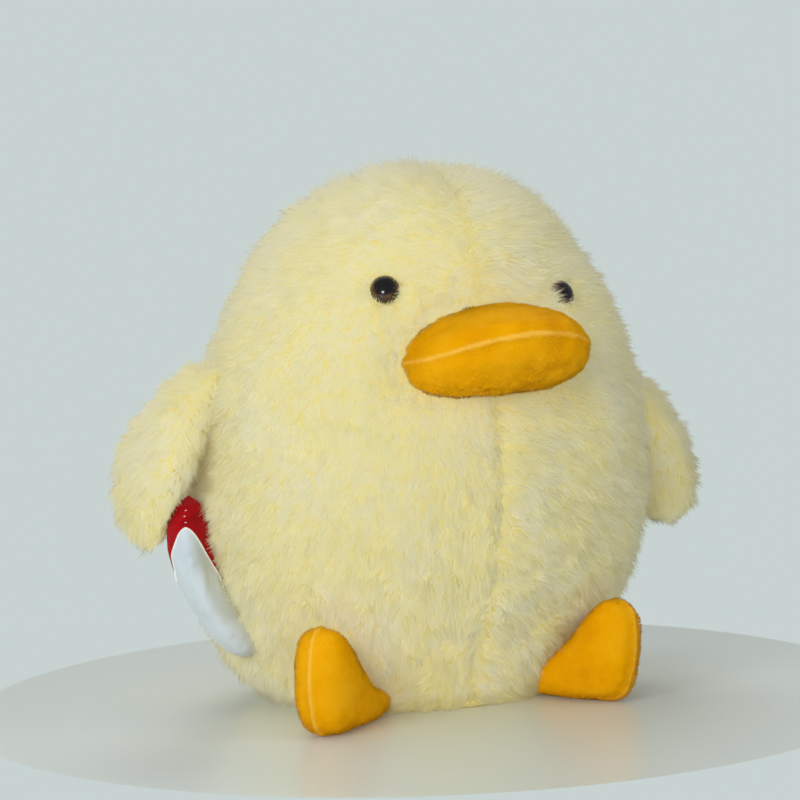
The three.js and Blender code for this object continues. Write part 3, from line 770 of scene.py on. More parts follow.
def sewn(piece, first_nodes, second_nodes):
    """A raised seam between shallow valleys where two panels meet"""
    points = places(piece.data)
    first = distances(points, nodes_tree(first_nodes))
    second = distances(points, nodes_tree(second_nodes))
    away = np.abs(first - second)
    stitches = 0.5 + 0.5 * np.sin(points.sum(axis=1) * (2 * math.pi / SEAM_STITCH_PITCH))
    low, high = SEAM_RIDGE_SHARES
    rise = SEAM_RIDGE_RISE * (low + (high - low) * stitches) * hump(away, SEAM_RIDGE_HALF)
    valley = SEAM_VALLEY_DEPTH * hump(away - SEAM_VALLEY_PLACE, SEAM_VALLEY_HALF)
    push(piece, rise - valley)
    keep_values(piece.data, "seam", hump(away, SEAM_RIDGE_HALF))
    return away


# Pile

def strand_mesh():
    """A strand along Y, with three sides that narrow from its foot to its tip"""
    foot = [(STRAND_SIDE * math.cos(angle), STRAND_FOOT, STRAND_SIDE * math.sin(angle))
            for angle in (math.radians(-150), math.radians(-30), math.radians(90))]
    mesh = bpy.data.meshes.new("strand")
    mesh.from_pydata(foot + [(0, 1, 0)], [], [(1, 0, 3), (2, 1, 3), (0, 2, 3)])
    mesh.shade_smooth()
    for label, axis in (("across", 0), ("along", 1), ("deep", 2)):
        keep_values(mesh, label, places(mesh)[:, axis])
    return mesh


def pile_tree():
    """Strands on a surface. They follow its nap, gather in tufts and narrow to their tips.
    The surface holds the nap's direction, the pile's share of its length, and its cover."""
    tree = bpy.data.node_groups.new("Pile", "GeometryNodeTree")
    face = tree.interface
    face.new_socket("Geometry", in_out="INPUT", socket_type="NodeSocketGeometry")
    face.new_socket("Strand", in_out="INPUT", socket_type="NodeSocketObject")
    face.new_socket("Material", in_out="INPUT", socket_type="NodeSocketMaterial")
    face.new_socket("Seed", in_out="INPUT", socket_type="NodeSocketInt")
    for label in FUR_SIZES:
        face.new_socket(label, in_out="INPUT", socket_type="NodeSocketFloat")
    face.new_socket("Geometry", in_out="OUTPUT", socket_type="NodeSocketGeometry")
    given = tree.nodes.new("NodeGroupInput").outputs
    out = tree.nodes.new("NodeGroupOutput").inputs

    def named(name, kind):
        return put(tree, "GeometryNodeInputNamedAttribute", {"data_type": kind}, {"Name": name}).outputs[0]

    def chance(low, high, offset):
        inputs = {"Min": low, "Max": high, "Seed": math_node(tree, "ADD", given["Seed"], offset)}
        node = tree.nodes.new("FunctionNodeRandomValue")
        vector = isinstance(low, tuple)
        node.data_type = "FLOAT_VECTOR" if vector else "FLOAT"
        for socket in node.inputs:
            if socket.enabled and socket.name in inputs:
                value = inputs[socket.name]
                if isinstance(value, bpy.types.NodeSocket):
                    tree.links.new(value, socket)
                else:
                    socket.default_value = value
        return next(socket for socket in node.outputs if socket.enabled)

    density = math_node(tree, "MULTIPLY", given["Density"], named("cover", "FLOAT"))
    spots = put(tree, "GeometryNodeDistributePointsOnFaces", {"distribute_method": "RANDOM"},
                {"Mesh": given["Geometry"], "Density": density, "Seed": given["Seed"]})
    root = put(tree, "GeometryNodeInputPosition").outputs[0]
    outward = vector_node(tree, "NORMALIZE", named("outward", "FLOAT_VECTOR"))
    length = math_node(tree, "MULTIPLY", given["Length"], named("pile", "FLOAT"))
    length = math_node(tree, "MULTIPLY", length, chance(*STRAND_LENGTHS, 1))
    nap = named("nap", "FLOAT_VECTOR")
    cell = put(tree, "ShaderNodeTexVoronoi", {"voronoi_dimensions": "3D", "feature": "F1"}, {
        "Vector": root, "Scale": math_node(tree, "DIVIDE", 1.0, given["Tuft"])})
    pull = scaled(tree, vector_node(tree, "SUBTRACT", cell.outputs["Position"], root), given["Pull"])
    level = vector_node(tree, "DOT_PRODUCT", pull, outward)
    pull = vector_node(tree, "SUBTRACT", pull, scaled(tree, outward, level))
    tuft_way = vector_node(tree, "SUBTRACT", cell.outputs["Color"], (0.5, 0.5, 0.5))
    stray = scaled(tree, chance((-1.0,) * 3, (1.0,) * 3, 2), given["Stray"])
    tuft_stray = math_node(tree, "MULTIPLY", given["Stray"], TUFT_STRAY)
    stray = vector_node(tree, "ADD", stray, scaled(tree, tuft_way, tuft_stray))
    rise = scaled(tree, outward, math_node(tree, "MULTIPLY", given["Lift"], length))
    lean = math_node(tree, "MULTIPLY", given["Lean"], length)
    tip = summed(tree, rise, scaled(tree, nap, lean), pull, scaled(tree, stray, length))
    bend = summed(tree, scaled(tree, rise, BEND_RISE),
                  scaled(tree, nap, math_node(tree, "MULTIPLY", lean, BEND_LEAN)),
                  scaled(tree, stray, math_node(tree, "MULTIPLY", length, BEND_STRAY)))
    side = vector_node(tree, "NORMALIZE", vector_node(tree, "CROSS_PRODUCT", tip, outward))
    front = vector_node(tree, "NORMALIZE", vector_node(tree, "CROSS_PRODUCT", side, tip))
    width = math_node(tree, "MULTIPLY", given["Width"], chance(*STRAND_WIDTHS, 4))
    # The pale floor throws light up, so pile that faces down is lit as if it faced ahead
    down = vector_node(tree, "MINIMUM", outward, (0, 0, 0))
    lit = vector_node(tree, "MULTIPLY", down, (0, 0, -FLOOR_LIGHT))
    shade = summed(tree, outward, lit, scaled(tree, pull, -1 / TUFT_ROUNDNESS),
                   scaled(tree, tuft_way, 2 * TUFT_TILT),
                   scaled(tree, chance((-1.0,) * 3, (1.0,) * 3, 3), STRAND_TILT))
    tuft_tone = put(tree, "ShaderNodeSeparateXYZ", None, {0: cell.outputs["Color"]}).outputs["Y"]
    tuft_tone = math_node(tree, "MULTIPLY", tuft_tone, TUFT_TONE)
    tone = math_node(tree, "ADD", tuft_tone, chance(0.0, 1 - TUFT_TONE, 5))

    held = tree.nodes.new("GeometryNodeCaptureAttribute")
    held.domain = "POINT"
    tree.links.new(spots.outputs["Points"], held.inputs["Geometry"])
    for label, kind, socket in (("Root", "VECTOR", root), ("Tip", "VECTOR", tip), ("Bend", "VECTOR", bend),
                                ("Side", "VECTOR", scaled(tree, side, width)),
                                ("Deep", "VECTOR", scaled(tree, front, width)), ("Shade", "VECTOR", shade),
                                ("Tone", "FLOAT", tone)):
        held.capture_items.new(kind, label)
        tree.links.new(socket, held.inputs[label])
    held = held.outputs
    strand = put(tree, "GeometryNodeObjectInfo", {"transform_space": "ORIGINAL"}, {0: given["Strand"]})
    copies = put(tree, "GeometryNodeInstanceOnPoints", None, {
        "Points": held["Geometry"], "Instance": strand.outputs["Geometry"]})
    real = put(tree, "GeometryNodeRealizeInstances", None, {0: copies.outputs[0]}).outputs[0]

    along, across, deep = named("along", "FLOAT"), named("across", "FLOAT"), named("deep", "FLOAT")
    back = math_node(tree, "SUBTRACT", 1.0, along)
    bend_share = math_node(tree, "MULTIPLY", math_node(tree, "MULTIPLY", along, back), 2.0)
    tip_share = math_node(tree, "MULTIPLY", along, along)
    spot = summed(tree, held["Root"], scaled(tree, held["Bend"], bend_share),
                  scaled(tree, held["Tip"], tip_share), scaled(tree, held["Side"], across),
                  scaled(tree, held["Deep"], deep))
    split = put(tree, "ShaderNodeSeparateXYZ", None, {0: spot}).outputs
    height = math_node(tree, "MAXIMUM", split["Z"], FLOOR_CLEARANCE)
    inputs = {"X": split["X"], "Y": split["Y"], "Z": height}
    spot = put(tree, "ShaderNodeCombineXYZ", None, inputs).outputs[0]
    set_place = put(tree, "GeometryNodeSetPosition", None, {"Geometry": real, "Position": spot})
    column = math_node(tree, "ADD", math_node(tree, "MULTIPLY", held["Tone"], 0.98),
                       math_node(tree, "MULTIPLY", math_node(tree, "ADD", across, 0.6), 0.01))
    uv = put(tree, "ShaderNodeCombineXYZ", None, {"X": column, "Y": along}).outputs[0]
    stored = put(tree, "GeometryNodeStoreNamedAttribute", {"data_type": "FLOAT2", "domain": "CORNER"}, {
        "Geometry": set_place.outputs[0], "Name": "OFBake", "Value": uv})
    soft = put(tree, "GeometryNodeSetMeshNormal", {"mode": "FREE", "domain": "POINT"}, {
        "Mesh": stored.outputs[0], "Custom Normal": vector_node(tree, "NORMALIZE", held["Shade"])})
    dressed = put(tree, "GeometryNodeSetMaterial", None, {
        "Geometry": soft.outputs[0], "Material": given["Material"]})
    tree.links.new(dressed.outputs[0], out["Geometry"])
    return tree


PILE = pile_tree()
STRAND = new_object("strand", strand_mesh())


def pile_on(name, surface, material, seed, sizes):
    """The pile of a surface, as a plain mesh of its own"""
    piece = new_object(name, surface)
    run_tree(piece, PILE, Strand=STRAND, Material=material, Seed=seed, **sizes)
    piece.visible_shadow = False
    piece.visible_diffuse = False
    for label in ("along", "across", "deep", "nap", "outward", "pile", "cover"):
        if label in piece.data.attributes:
            piece.data.attributes.remove(piece.data.attributes[label])
    return piece


def along_surface(vectors, outward):
    """The part of each vector that lies in the surface, one unit long"""
    level = vectors - outward * np.sum(vectors * outward, axis=1)[:, None]
    return level / np.linalg.norm(level, axis=1).clip(1e-6)[:, None]


def swirls(points, size, seed):
    """A smooth random vector at each point, that changes over a size"""
    offset = Vector((seed * 7.3, seed * 3.1, seed * 5.7))
    return np.array([noise.noise_vector(Vector(point) / size + offset) for point in points])


def set_nap(mesh, flow, length_share, cover, seed, wander=BODY_WANDER, lying=1.0, roundness=0,
            facing=(0, 0, 0)):
    """Stores how the pile lies: its direction, its share of the full length, and its cover.
    Loose pile all round a thin piece is lit as if it faced one way more"""
    points, outward = places(mesh), evened(mesh, directions(mesh), roundness)
    outward /= np.linalg.norm(outward, axis=1).clip(1e-6)[:, None]
    lit = outward + np.array(facing)
    lit /= np.linalg.norm(lit, axis=1).clip(1e-6)[:, None]
    seeds = (seed, seed + 5, seed + 9)
    wandering = wander * sum(swirls(points, size, own) for size, own in zip(WANDER_SIZES, seeds))
    nap = along_surface(flow + wandering, outward) * np.reshape(lying, (-1, 1))
    keep_values(mesh, "nap", nap)
    keep_values(mesh, "outward", lit)
    keep_values(mesh, "pile", length_share)
    keep_values(mesh, "cover", cover)


def part_of(mesh, keep):
    """A copy of a surface with only the faces whose middle passes a test"""
    part = bmesh.new()
    part.from_mesh(mesh)
    gone = [face for face in part.faces if not keep(face.calc_center_median())]
    bmesh.ops.delete(part, geom=gone, context="FACES")
    made = bpy.data.meshes.new(mesh.name)
    part.to_mesh(made)
    part.free()
    return made


# Body

def body_flow(points):
    """Which way the body's nap runs: away from the front seam over the head, mostly down below"""
    side = np.sign(points[:, 0])
    head = smooth_step(HEAD_NAP_FROM, points[:, 2])
    left = np.where(points[:, 0] > 0, ASIDE_MORE_ON_LEFT, 0.0)
    aside = ASIDE_BELOW + (1 - ASIDE_BELOW) * head + left * (1 - head)
    flow = np.zeros_like(points)
    flow[:, 0] = side * aside
    flow[:, 2] = -(1.0 - LESS_DOWN_ON_HEAD * head)
    return flow


def beside_eye(node, points):
    """The ways out from an eye's middle, how much pile lies over it from there, and how near
    each point is to its edge, from 0 to 1"""
    low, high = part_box(node)
    way = points - np.array((low + high) / 2)
    gap = np.linalg.norm(way, axis=1)
    way /= gap[:, None]
    over = np.max([smooth_step(OVER_EYE_WITHIN, way @ np.array(side)) * share
                   for side, share in PILE_OVER_EYE[node]], axis=0)
    return way, over, hump(gap - EYE_RADIUS, EYE_SURROUND)


def belly_folds(points, front):
    """How deep in a fold each point is, from 0 to 1, and the way into it, across and up"""
    folded, fold_way = np.zeros(len(points)), np.zeros((len(points), 2))
    for line in FOLDS.values():
        gap, way = line_gaps(points, line)
        folded = np.maximum(folded, hump(gap, FOLD_HALF) * front)
        fold_way += way * (hump(gap, FOLD_PULL * FOLD_HALF) * front)[:, None]
    return folded, fold_way


def shape_body(skin, points, gaps, seam, high, on_face, folded):
    """Its middle seam, the places where limbs and eyes draw it in, its folds and its lumps"""
    groove_depth = GROOVE_DEPTH - GROOVE_LESS_ON_HEAD * high - GROOVE_LESS_ON_FACE * on_face
    drawn_in = groove_depth * hump(seam, GROOVE_HALF)
    for name in ("beak", "feet"):
        drawn_in += PINCH_DEPTH * hump(gaps[name] - PINCH_START, PINCH_REACH)
    drawn_in += DIMPLE_DEPTH * hump(gaps["eyes"], DIMPLE_REACH) + FOLD_DEPTH * folded
    for node in EYE_NODES:
        _, over, beside = beside_eye(node, points)
        drawn_in -= CLOTH_OVER_EYE * over * beside
    rise = BODY_LUMP_RISE * lumps(points, BODY_LUMP_PITCH) - drawn_in
    push(skin, rise * smooth_step(ABOVE_BASE, points[:, 2]))
    moved = places(skin.data)
    moved[:, 2] = np.maximum(moved[:, 2], 0)
    place_all(skin.data, moved)
    return moved


def body_pile(points, gaps, seam, high, on_face, folded):
    """The body's pile away from its eyes: its share of the full length, and its cover"""
    short = SHORT_AT_SEAM - LESS_SHORT_ON_HEAD * high - LESS_SHORT_ON_FACE * on_face
    length = 1 - short * hump(seam, SHORT_SEAM_HALF)
    length -= SHORT_AT_BUTTON * hump(gaps["eyes"], BUTTON_REACH) + SHORT_AT_FOLD * folded
    length *= BELLY_SHARE + LONG_ON_HEAD * smooth_step(HEAD_PILE_FROM, points[:, 2])
    length *= 1 + LONG_ON_CROWN * smooth_step(CROWN_FROM, points[:, 2])
    cover = smooth_step(COVER_FROM_FLOOR, points[:, 2])
    cover *= smooth_step(COVER_FROM_EYES, gaps["eyes"])
    for name in ("beak", "feet"):
        length *= 1 - SHORT_AT_BEAK_AND_FEET * hump(gaps[name], BEAK_AND_FEET_REACH)
        cover *= smooth_step(COVER_FROM_BEAK_AND_FEET, gaps[name])
    length += LONG_AT_LIMBS * (hump(gaps["tail"], LIMB_REACH) + hump(gaps["wings"], LIMB_REACH))
    length += LONG_AT_RING * hump(gaps["eyes"] - RING_GAP, RING_REACH)
    return length, cover


def make_body():
    """The body's two halves as one sewn skin, with the pile of each half in bands"""
    skin = stuffed_skin("body_cloth", SKIN_NODES + ("base_panel", "body_filling"), BODY_VOXEL, BODY_ROUNDS)
    points = places(skin.data)
    gaps = {part: distances(points, nodes_tree(nodes)) for part, nodes in BESIDE_BODY.items()}
    front = smooth_step(FRONT_FROM, points[:, 1])
    high = smooth_step(HEAD_FROM, points[:, 2])
    on_face = high * front
    seam = np.abs(points[:, 0] - SEAM_DRIFT * on_face * smooth_step(SEAM_DRIFT_FROM, points[:, 2]))
    folded, fold_way = belly_folds(points, front)
    moved = shape_body(skin, points, gaps, seam, high, on_face, folded)

    length, cover = body_pile(moved, gaps, seam, high, on_face, folded)
    flow = body_flow(moved)
    flow[:, 2] *= 1 - LESS_DOWN_AT_BASE * smooth_step(BASE_NAP_FROM, moved[:, 2])
    parting = PARTED_AT_SEAM - LESS_PARTED_ON_FACE * on_face
    flow[:, 0] += np.sign(moved[:, 0]) * parting * hump(seam, PARTED_SEAM_HALF)
    flow[:, [0, 2]] += INTO_FOLDS * fold_way
    for node in EYE_NODES:
        way, over, beside = beside_eye(node, moved)
        flow += way * (FROM_EYE * beside * (1 - ONTO_EYE * over))[:, None]
        length += (LONG_OVER_EYE * over - SHORT_AROUND_EYE * (1 - over)) * beside
        cover *= 1 + DENSE_OVER_EYE * over * beside
    beside_handle = hump(gaps["knife"], HANDLE_REACH) * smooth_step(HANDLE_FROM, moved[:, 2])
    length += LONG_AT_HANDLE * beside_handle
    lying = 1 - ERECT_AT_EYES * hump(gaps["eyes"], ERECT_AT_EYES_REACH)
    lying *= 1 - ERECT_AT_HANDLE * beside_handle
    lying *= 1 - ERECT_AT_WINGS * hump(gaps["wings"], LIMB_REACH)
    set_nap(skin.data, flow, length, cover, 1, lying=lying)
    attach(dressed(skin, BACKING, "fur"), "body")
    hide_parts(*SKIN_NODES)
    for side, sign in (("right", -1), ("left", 1)):
        for seed, (band, (low, top)) in enumerate(BODY_BANDS.items()):
            def inside_band(middle, sign=sign, low=low * MM, top=top * MM):
                return middle.x * sign >= 0 and low <= middle.z < top
            surface = part_of(skin.data, inside_band)
            pile = pile_on(f"fur_{band}_{side}", surface, FUR, 10 + 2 * seed + sign, FUR_SIZES)
            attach(pile, "body")


def dressed(piece, material, slot):
    """Gives a piece its one material; the slot argument is not used"""
    piece.data.materials.clear()
    piece.data.materials.append(material)
    return piece


def make_base():
    """The round cloth underneath, drawn in at its edge and a little full in the middle"""
    low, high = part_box("base_panel")
    base = stuffed_skin("base_cloth", ("base_panel",), LIMB_VOXEL, BASE_ROUNDS)
    points = places(base.data)
    points[:, 2] = np.clip(points[:, 2], low.z, high.z)
    place_all(base.data, points)
    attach(dressed(base, BACKING, "base_cloth"), "body")
    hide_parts("base_panel")


def make_furry_limb(name, body, nodes, seed):
    """A wing or the tail: a stuffed skin with long pile that runs from its root to its tip"""
    skin = stuffed_skin(f"{name}_cloth", nodes + (f"{name}_filling",), LIMB_VOXEL, LIMB_ROUNDS)
    away = sewn(skin, nodes[:1], nodes[1:])
    points = places(skin.data)
    body_gap = distances(points, nodes_tree(SKIN_NODES))
    push(skin, FURRY_LUMP_RISE * lumps(points, FURRY_LUMP_PITCH) * smooth_step(FURRY_LUMPS_FROM, body_gap))
    flow = np.tile(LIMB_TIP_WAY[name], (len(points), 1))
    length = FURRY_SHARE - SHORT_AT_FURRY_SEAM * hump(away, FURRY_SEAM_HALF)
    length *= 1 - SHORT_AT_ROOT * (1 - smooth_step(FURRY_FULL_FROM, body_gap))
    cover = smooth_step(FURRY_COVER_FROM_BODY, body_gap)
    if name == "wing_right":
        knife_gap = distances(points, nodes_tree(KNIFE_NODES))
        cover *= smooth_step(FURRY_COVER_FROM_KNIFE, knife_gap)
        length *= 1 - SHORT_AT_KNIFE * (1 - smooth_step(FURRY_FULL_FROM_KNIFE, knife_gap))
    set_nap(skin.data, flow, length, cover, seed, roundness=LIMB_ROUNDNESS, facing=LIMB_FACING[name])
    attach(dressed(skin, BACKING, "fur"), body)
    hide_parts(*nodes)
    pile = pile_on(f"{name}_fur", skin.data.copy(), FUR, seed, FUR_SIZES)
    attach(pile, body)


# Beak and feet

def make_nap_piece(name, body, nodes, flow, seed):
    """A stuffed piece of short-pile cloth with its rim seam"""
    skin = stuffed_skin(f"{name}_cloth", nodes + (f"{name}_filling",), LIMB_VOXEL, LIMB_ROUNDS, NAP_EVENING)
    away = sewn(skin, nodes[:1], nodes[1:])
    points = places(skin.data)
    body_gap = distances(points, nodes_tree(SKIN_NODES))
    push(skin, NAP_LUMP_RISE * lumps(points, NAP_LUMP_PITCH) * smooth_step(NAP_LUMPS_FROM, body_gap))
    moved = places(skin.data)
    moved[:, 2] = np.maximum(moved[:, 2], FLOOR_CLEARANCE)
    place_all(skin.data, moved)
    length = 1 - SHORT_AT_NAP_SEAM * hump(away, NAP_SEAM_HALF)
    cover = smooth_step(NAP_COVER_FROM_BODY, body_gap)
    flow = np.tile(np.array(flow, float), (len(points), 1))
    set_nap(skin.data, flow, length, cover, seed, wander=NAP_WANDER, roundness=NAP_ROUNDNESS)
    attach(dressed(skin, VELBOA, "orange_velboa"), body)
    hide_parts(*nodes)
    pile = pile_on(f"{name}_nap", skin.data.copy(), NAP, seed, NAP_SIZES)
    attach(pile, body)


# Eyes

def make_eye(side):
    """A domed button, turned about the stem's own direction"""
    node = f"eye_{side}"
    points = places(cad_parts[node].data)
    seat, outward = eye_seat(points)
    profile = [(0.9, 0.0), (0.985, 0.25), (1.0, 0.6)]
    for step in range(EYE_STEPS):
        angle = 0.5 * math.pi * step / EYE_STEPS
        profile.append((math.cos(angle), 1 + EYE_DOME / EYE_RIM * math.sin(angle)))
    mesh = bpy.data.meshes.new(f"{node}_button")
    turned = bmesh.new()
    frame_of = outward.to_track_quat("Z", "Y").to_matrix()
    rows = []
    for radius, height in profile:
        row = []
        for number in range(EYE_SIDES):
            angle = 2 * math.pi * number / EYE_SIDES
            reach = radius * EYE_RADIUS
            local = Vector((reach * math.cos(angle), reach * math.sin(angle), height * EYE_RIM))
            row.append(turned.verts.new(seat + frame_of @ local))
        rows.append(row)
    back = turned.verts.new(seat)
    top = turned.verts.new(seat + outward * (EYE_RIM + EYE_DOME))
    for number in range(EYE_SIDES):
        after = (number + 1) % EYE_SIDES
        turned.faces.new((back, rows[0][after], rows[0][number]))
        turned.faces.new((top, rows[-1][number], rows[-1][after]))
        for low, high in zip(rows, rows[1:]):
            turned.faces.new((low[number], low[after], high[after], high[number]))
    turned.to_mesh(mesh)
    turned.free()
    mesh.shade_smooth()
    made = places(mesh) - np.array(seat)
    level = made - np.outer(made @ np.array(outward), np.array(outward))
    keep_values(mesh, "rim", np.linalg.norm(level, axis=1) / EYE_RADIUS)
    button = new_object(f"{node}_button", mesh)
    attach(dressed(button, EYE, "eye_gloss"), "body")
    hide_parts(node)


def eye_seat(points):
    """The middle of a button's back and the direction it faces, from its widest ring"""
    centre = points.mean(axis=0)
    _, _, axes = np.linalg.svd(points - centre)
    axis = axes[0]
    if axis[1] > 0:
        axis = -axis
    reach = (points - centre) @ axis
    radial = np.linalg.norm(points - centre - np.outer(reach, axis), axis=1)
    wide = radial > 0.97 * radial.max()
    back = reach[wide].min()
    middle = points[wide].mean(axis=0)
    middle += axis * (back - (middle - centre) @ axis)
    return Vector(middle), Vector(axis)


# Toy knife

ACROSS, THROUGH = Vector(KNIFE_ACROSS), Vector(KNIFE_THROUGH)
# The handle's cloth lies above both of these slopes, so it comes to a point on each face
HANDLE_SLOPES = [ACROSS * lean + UP * math.cos(BOUNDARY_SLOPE)
                 for lean in (math.sin(BOUNDARY_SLOPE), -math.sin(BOUNDARY_SLOPE))]


def make_knife():
    """The handle and the blade, cut from one skin along the two slopes of the seam between them"""
    whole = stuffed_skin("knife_whole", KNIFE_NODES + ("knife_filling",), KNIFE_VOXEL, KNIFE_ROUNDS)
    shape_knife(whole)
    for name, material, slot, nodes in (("knife_handle", HANDLE, "handle_cloth", HANDLE_NODES),
                                        ("knife_blade", BLADE, "blade_satin", BLADE_NODES)):
        part = pointed_part(whole.data, name == "knife_handle")
        rim = [edge for edge in part.edges if edge.is_boundary]
        if name == "knife_handle":
            make_piping(ordered_loop(rim))
        cap = bmesh.ops.holes_fill(part, edges=rim, sides=0)["faces"][0]
        halves = [[corner for corner in cap.verts if sign * (corner.co - BOUNDARY_POINT).dot(THROUGH) > 0]
                  for sign in (-1, 1)]
        bmesh.utils.face_split(cap, *[min(half, key=along_slope_gap) for half in halves])
        bmesh.ops.recalc_face_normals(part, faces=part.faces[:])
        mesh = bpy.data.meshes.new(name)
        part.to_mesh(mesh)
        part.free()
        mesh.shade_smooth()
        piece = new_object(name, mesh)
        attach(dressed(piece, material, slot), "knife")
        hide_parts(*nodes)
    make_stitches(whole.data)
    make_knot(places(whole.data))
    bpy.data.objects.remove(whole)


def shape_knife(whole):
    """Its own seam on the handle, and on the blade soft puckers, a waist and a fuller end"""
    points = places(whole.data)
    outer = distances(points, nodes_tree(("knife_handle_outer_panel", "knife_blade_outer_panel")))
    inner = distances(points, nodes_tree(("knife_handle_inner_panel", "knife_blade_inner_panel")))
    away = np.abs(outer - inner)
    on_blade = smooth_step(BLADE_FROM, points[:, 2])
    rounded = evened(whole.data, points, BLADE_ROUNDS)
    place_all(whole.data, points + (rounded - points) * on_blade[:, None])
    pitch = np.array((BLADE_FOLD_PITCH, BLADE_FOLD_PITCH, BLADE_FOLD_LENGTH))
    folds = np.array([noise.noise(Vector(point / pitch)) for point in points])
    seam = HANDLE_RIDGE_RISE * hump(away, HANDLE_RIDGE_HALF)
    seam -= HANDLE_VALLEY_DEPTH * hump(away - HANDLE_VALLEY_PLACE, HANDLE_VALLEY_HALF)
    at_tip = smooth_step(BLADE_TIP_FROM, points[:, 2])
    folds *= (1 - BLADE_FOLDS_LOST_AT_TIP * at_tip) * smooth_step(BLADE_FOLDS_FROM, points[:, 2])
    waist = hump(np.abs(points[:, 2] - BLADE_WAIST_HEIGHT), BLADE_WAIST_HALF)
    swell = np.maximum(BLADE_SWELL + BLADE_FOLD_RISE * folds - BLADE_WAIST * waist, BLADE_LEAST_SWELL)
    swell += BLADE_TIP_SWELL * at_tip
    push(whole, seam * (1 - on_blade) + swell * on_blade)


def along_slope_gap(corner):
    """How far a corner lies from where the two slopes meet"""
    return abs((corner.co - BOUNDARY_POINT).dot(ACROSS))


def in_handle(place):
    return all((place - BOUNDARY_POINT).dot(slope) > 0 for slope in HANDLE_SLOPES)


def pointed_part(mesh, handle):
    """The handle's or the blade's share of the knife's skin"""
    part = bmesh.new()
    part.from_mesh(mesh)
    for slope in HANDLE_SLOPES:
        every = part.verts[:] + part.edges[:] + part.faces[:]
        bmesh.ops.bisect_plane(part, geom=every, plane_co=BOUNDARY_POINT, plane_no=slope)
    gone = [face for face in part.faces if in_handle(face.calc_center_median()) != handle]
    bmesh.ops.delete(part, geom=gone, context="FACES")
    return part


def make_piping(line):
    """White piping round the seam between handle and blade"""
    curve = bpy.data.curves.new("knife_piping", "CURVE")
    curve.dimensions = "3D"
    curve.bevel_depth = PIPING_RADIUS
    curve.bevel_resolution = 3
    spline = curve.splines.new("POLY")
    kept = line[::2]
    spline.points.add(len(kept) - 1)
    for point, place in zip(spline.points, kept):
        point.co = (*place, 1)
    spline.use_cyclic_u = True
    rope = new_object("knife_piping_curve", curve)
    piece = new_object("knife_piping", finished_mesh(rope))
    bpy.data.objects.remove(rope)
    piece.data.shade_smooth()
    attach(dressed(piece, PIPING, "blade_satin"), "knife")


def stitch_tree():
    """Stitches of thread on a row of points, which hold the way each lies and the way out"""
    tree = bpy.data.node_groups.new("Stitches", "GeometryNodeTree")
    face = tree.interface
    for label, kind in (("Geometry", "Geometry"), ("Length", "Float"), ("Thickness", "Float"),
                        ("Material", "Material")):
        face.new_socket(label, in_out="INPUT", socket_type=f"NodeSocket{kind}")
    face.new_socket("Geometry", in_out="OUTPUT", socket_type="NodeSocketGeometry")
    given = tree.nodes.new("NodeGroupInput").outputs
    out = tree.nodes.new("NodeGroupOutput").inputs

    def named(name):
        kind = {"data_type": "FLOAT_VECTOR"}
        return put(tree, "GeometryNodeInputNamedAttribute", kind, {"Name": name}).outputs[0]

    thread = put(tree, "GeometryNodeMeshUVSphere", None, {"Segments": 10, "Rings": 7, "Radius": 1.0})
    half = math_node(tree, "MULTIPLY", given["Length"], 0.5)
    size = put(tree, "ShaderNodeCombineXYZ", None, {
        "X": half, "Y": given["Thickness"], "Z": given["Thickness"]})
    turn = put(tree, "FunctionNodeAxesToRotation", {"primary_axis": "X", "secondary_axis": "Z"},
               {0: named("lie"), 1: named("out")})
    copies = put(tree, "GeometryNodeInstanceOnPoints", None, {
        "Points": given["Geometry"], "Instance": thread.outputs["Mesh"], "Rotation": turn.outputs[0],
        "Scale": size.outputs[0]})
    real = put(tree, "GeometryNodeRealizeInstances", None, {0: copies.outputs[0]})
    clad = put(tree, "GeometryNodeSetMaterial", None, {
        "Geometry": real.outputs[0], "Material": given["Material"]})
    tree.links.new(clad.outputs[0], out["Geometry"])
    return tree


def make_stitches(mesh):
    """The few stitches that close the handle's front seam"""
    points, outward = places(mesh), directions(mesh)
    row, lie, out = [], [], []
    for number in range(STITCH_COUNT):
        height = STITCH_TOP - number * STITCH_PITCH
        near = np.where(np.abs(points[:, 2] - height) < STITCH_SEARCH)[0]
        foremost = near[(points[near] @ np.array(KNIFE_ACROSS)).argmin()]
        row.append(points[foremost] + outward[foremost] * STITCH_LIFT)
        lie.append(np.array(KNIFE_THROUGH) + np.array((0, 0, 0.5 if number % 2 else 0.1)))
        out.append(outward[foremost])
    seats = bpy.data.meshes.new("knife_stitches")
    seats.from_pydata(row, [], [])
    keep_values(seats, "lie", lie)
    keep_values(seats, "out", out)
    piece = new_object("knife_stitches", seats)
    run_tree(piece, stitch_tree(), Length=STITCH_LENGTH, Thickness=STITCH_THICKNESS, Material=PIPING)
    piece.data.shade_smooth()
    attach(piece, "knife")


def make_knot(points):
    """A small knot of thread where the blade's end is gathered"""
    spot = Vector(points[np.linalg.norm(points - np.array(KNOT_PLACE), axis=1).argmin()])
    knot = bmesh.new()
    for number, reach in enumerate((-0.5, 0.5, 0.0)):
        size = Matrix.Diagonal((KNOT_RADIUS, 0.6 * KNOT_RADIUS, 0.7 * KNOT_RADIUS, 1))
        move = Matrix.Translation(spot + (THROUGH + UP * 0.4) * reach * KNOT_RADIUS)
        turned = move @ Matrix.Rotation(2.1 * number, 4, "Z") @ size
        bmesh.ops.create_uvsphere(knot, u_segments=12, v_segments=8, radius=1, matrix=turned)
    mesh = bpy.data.meshes.new("knife_knot")
    knot.to_mesh(mesh)
    knot.free()
    mesh.shade_smooth()
    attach(dressed(new_object("knife_knot", mesh), PIPING, "blade_satin"), "knife")


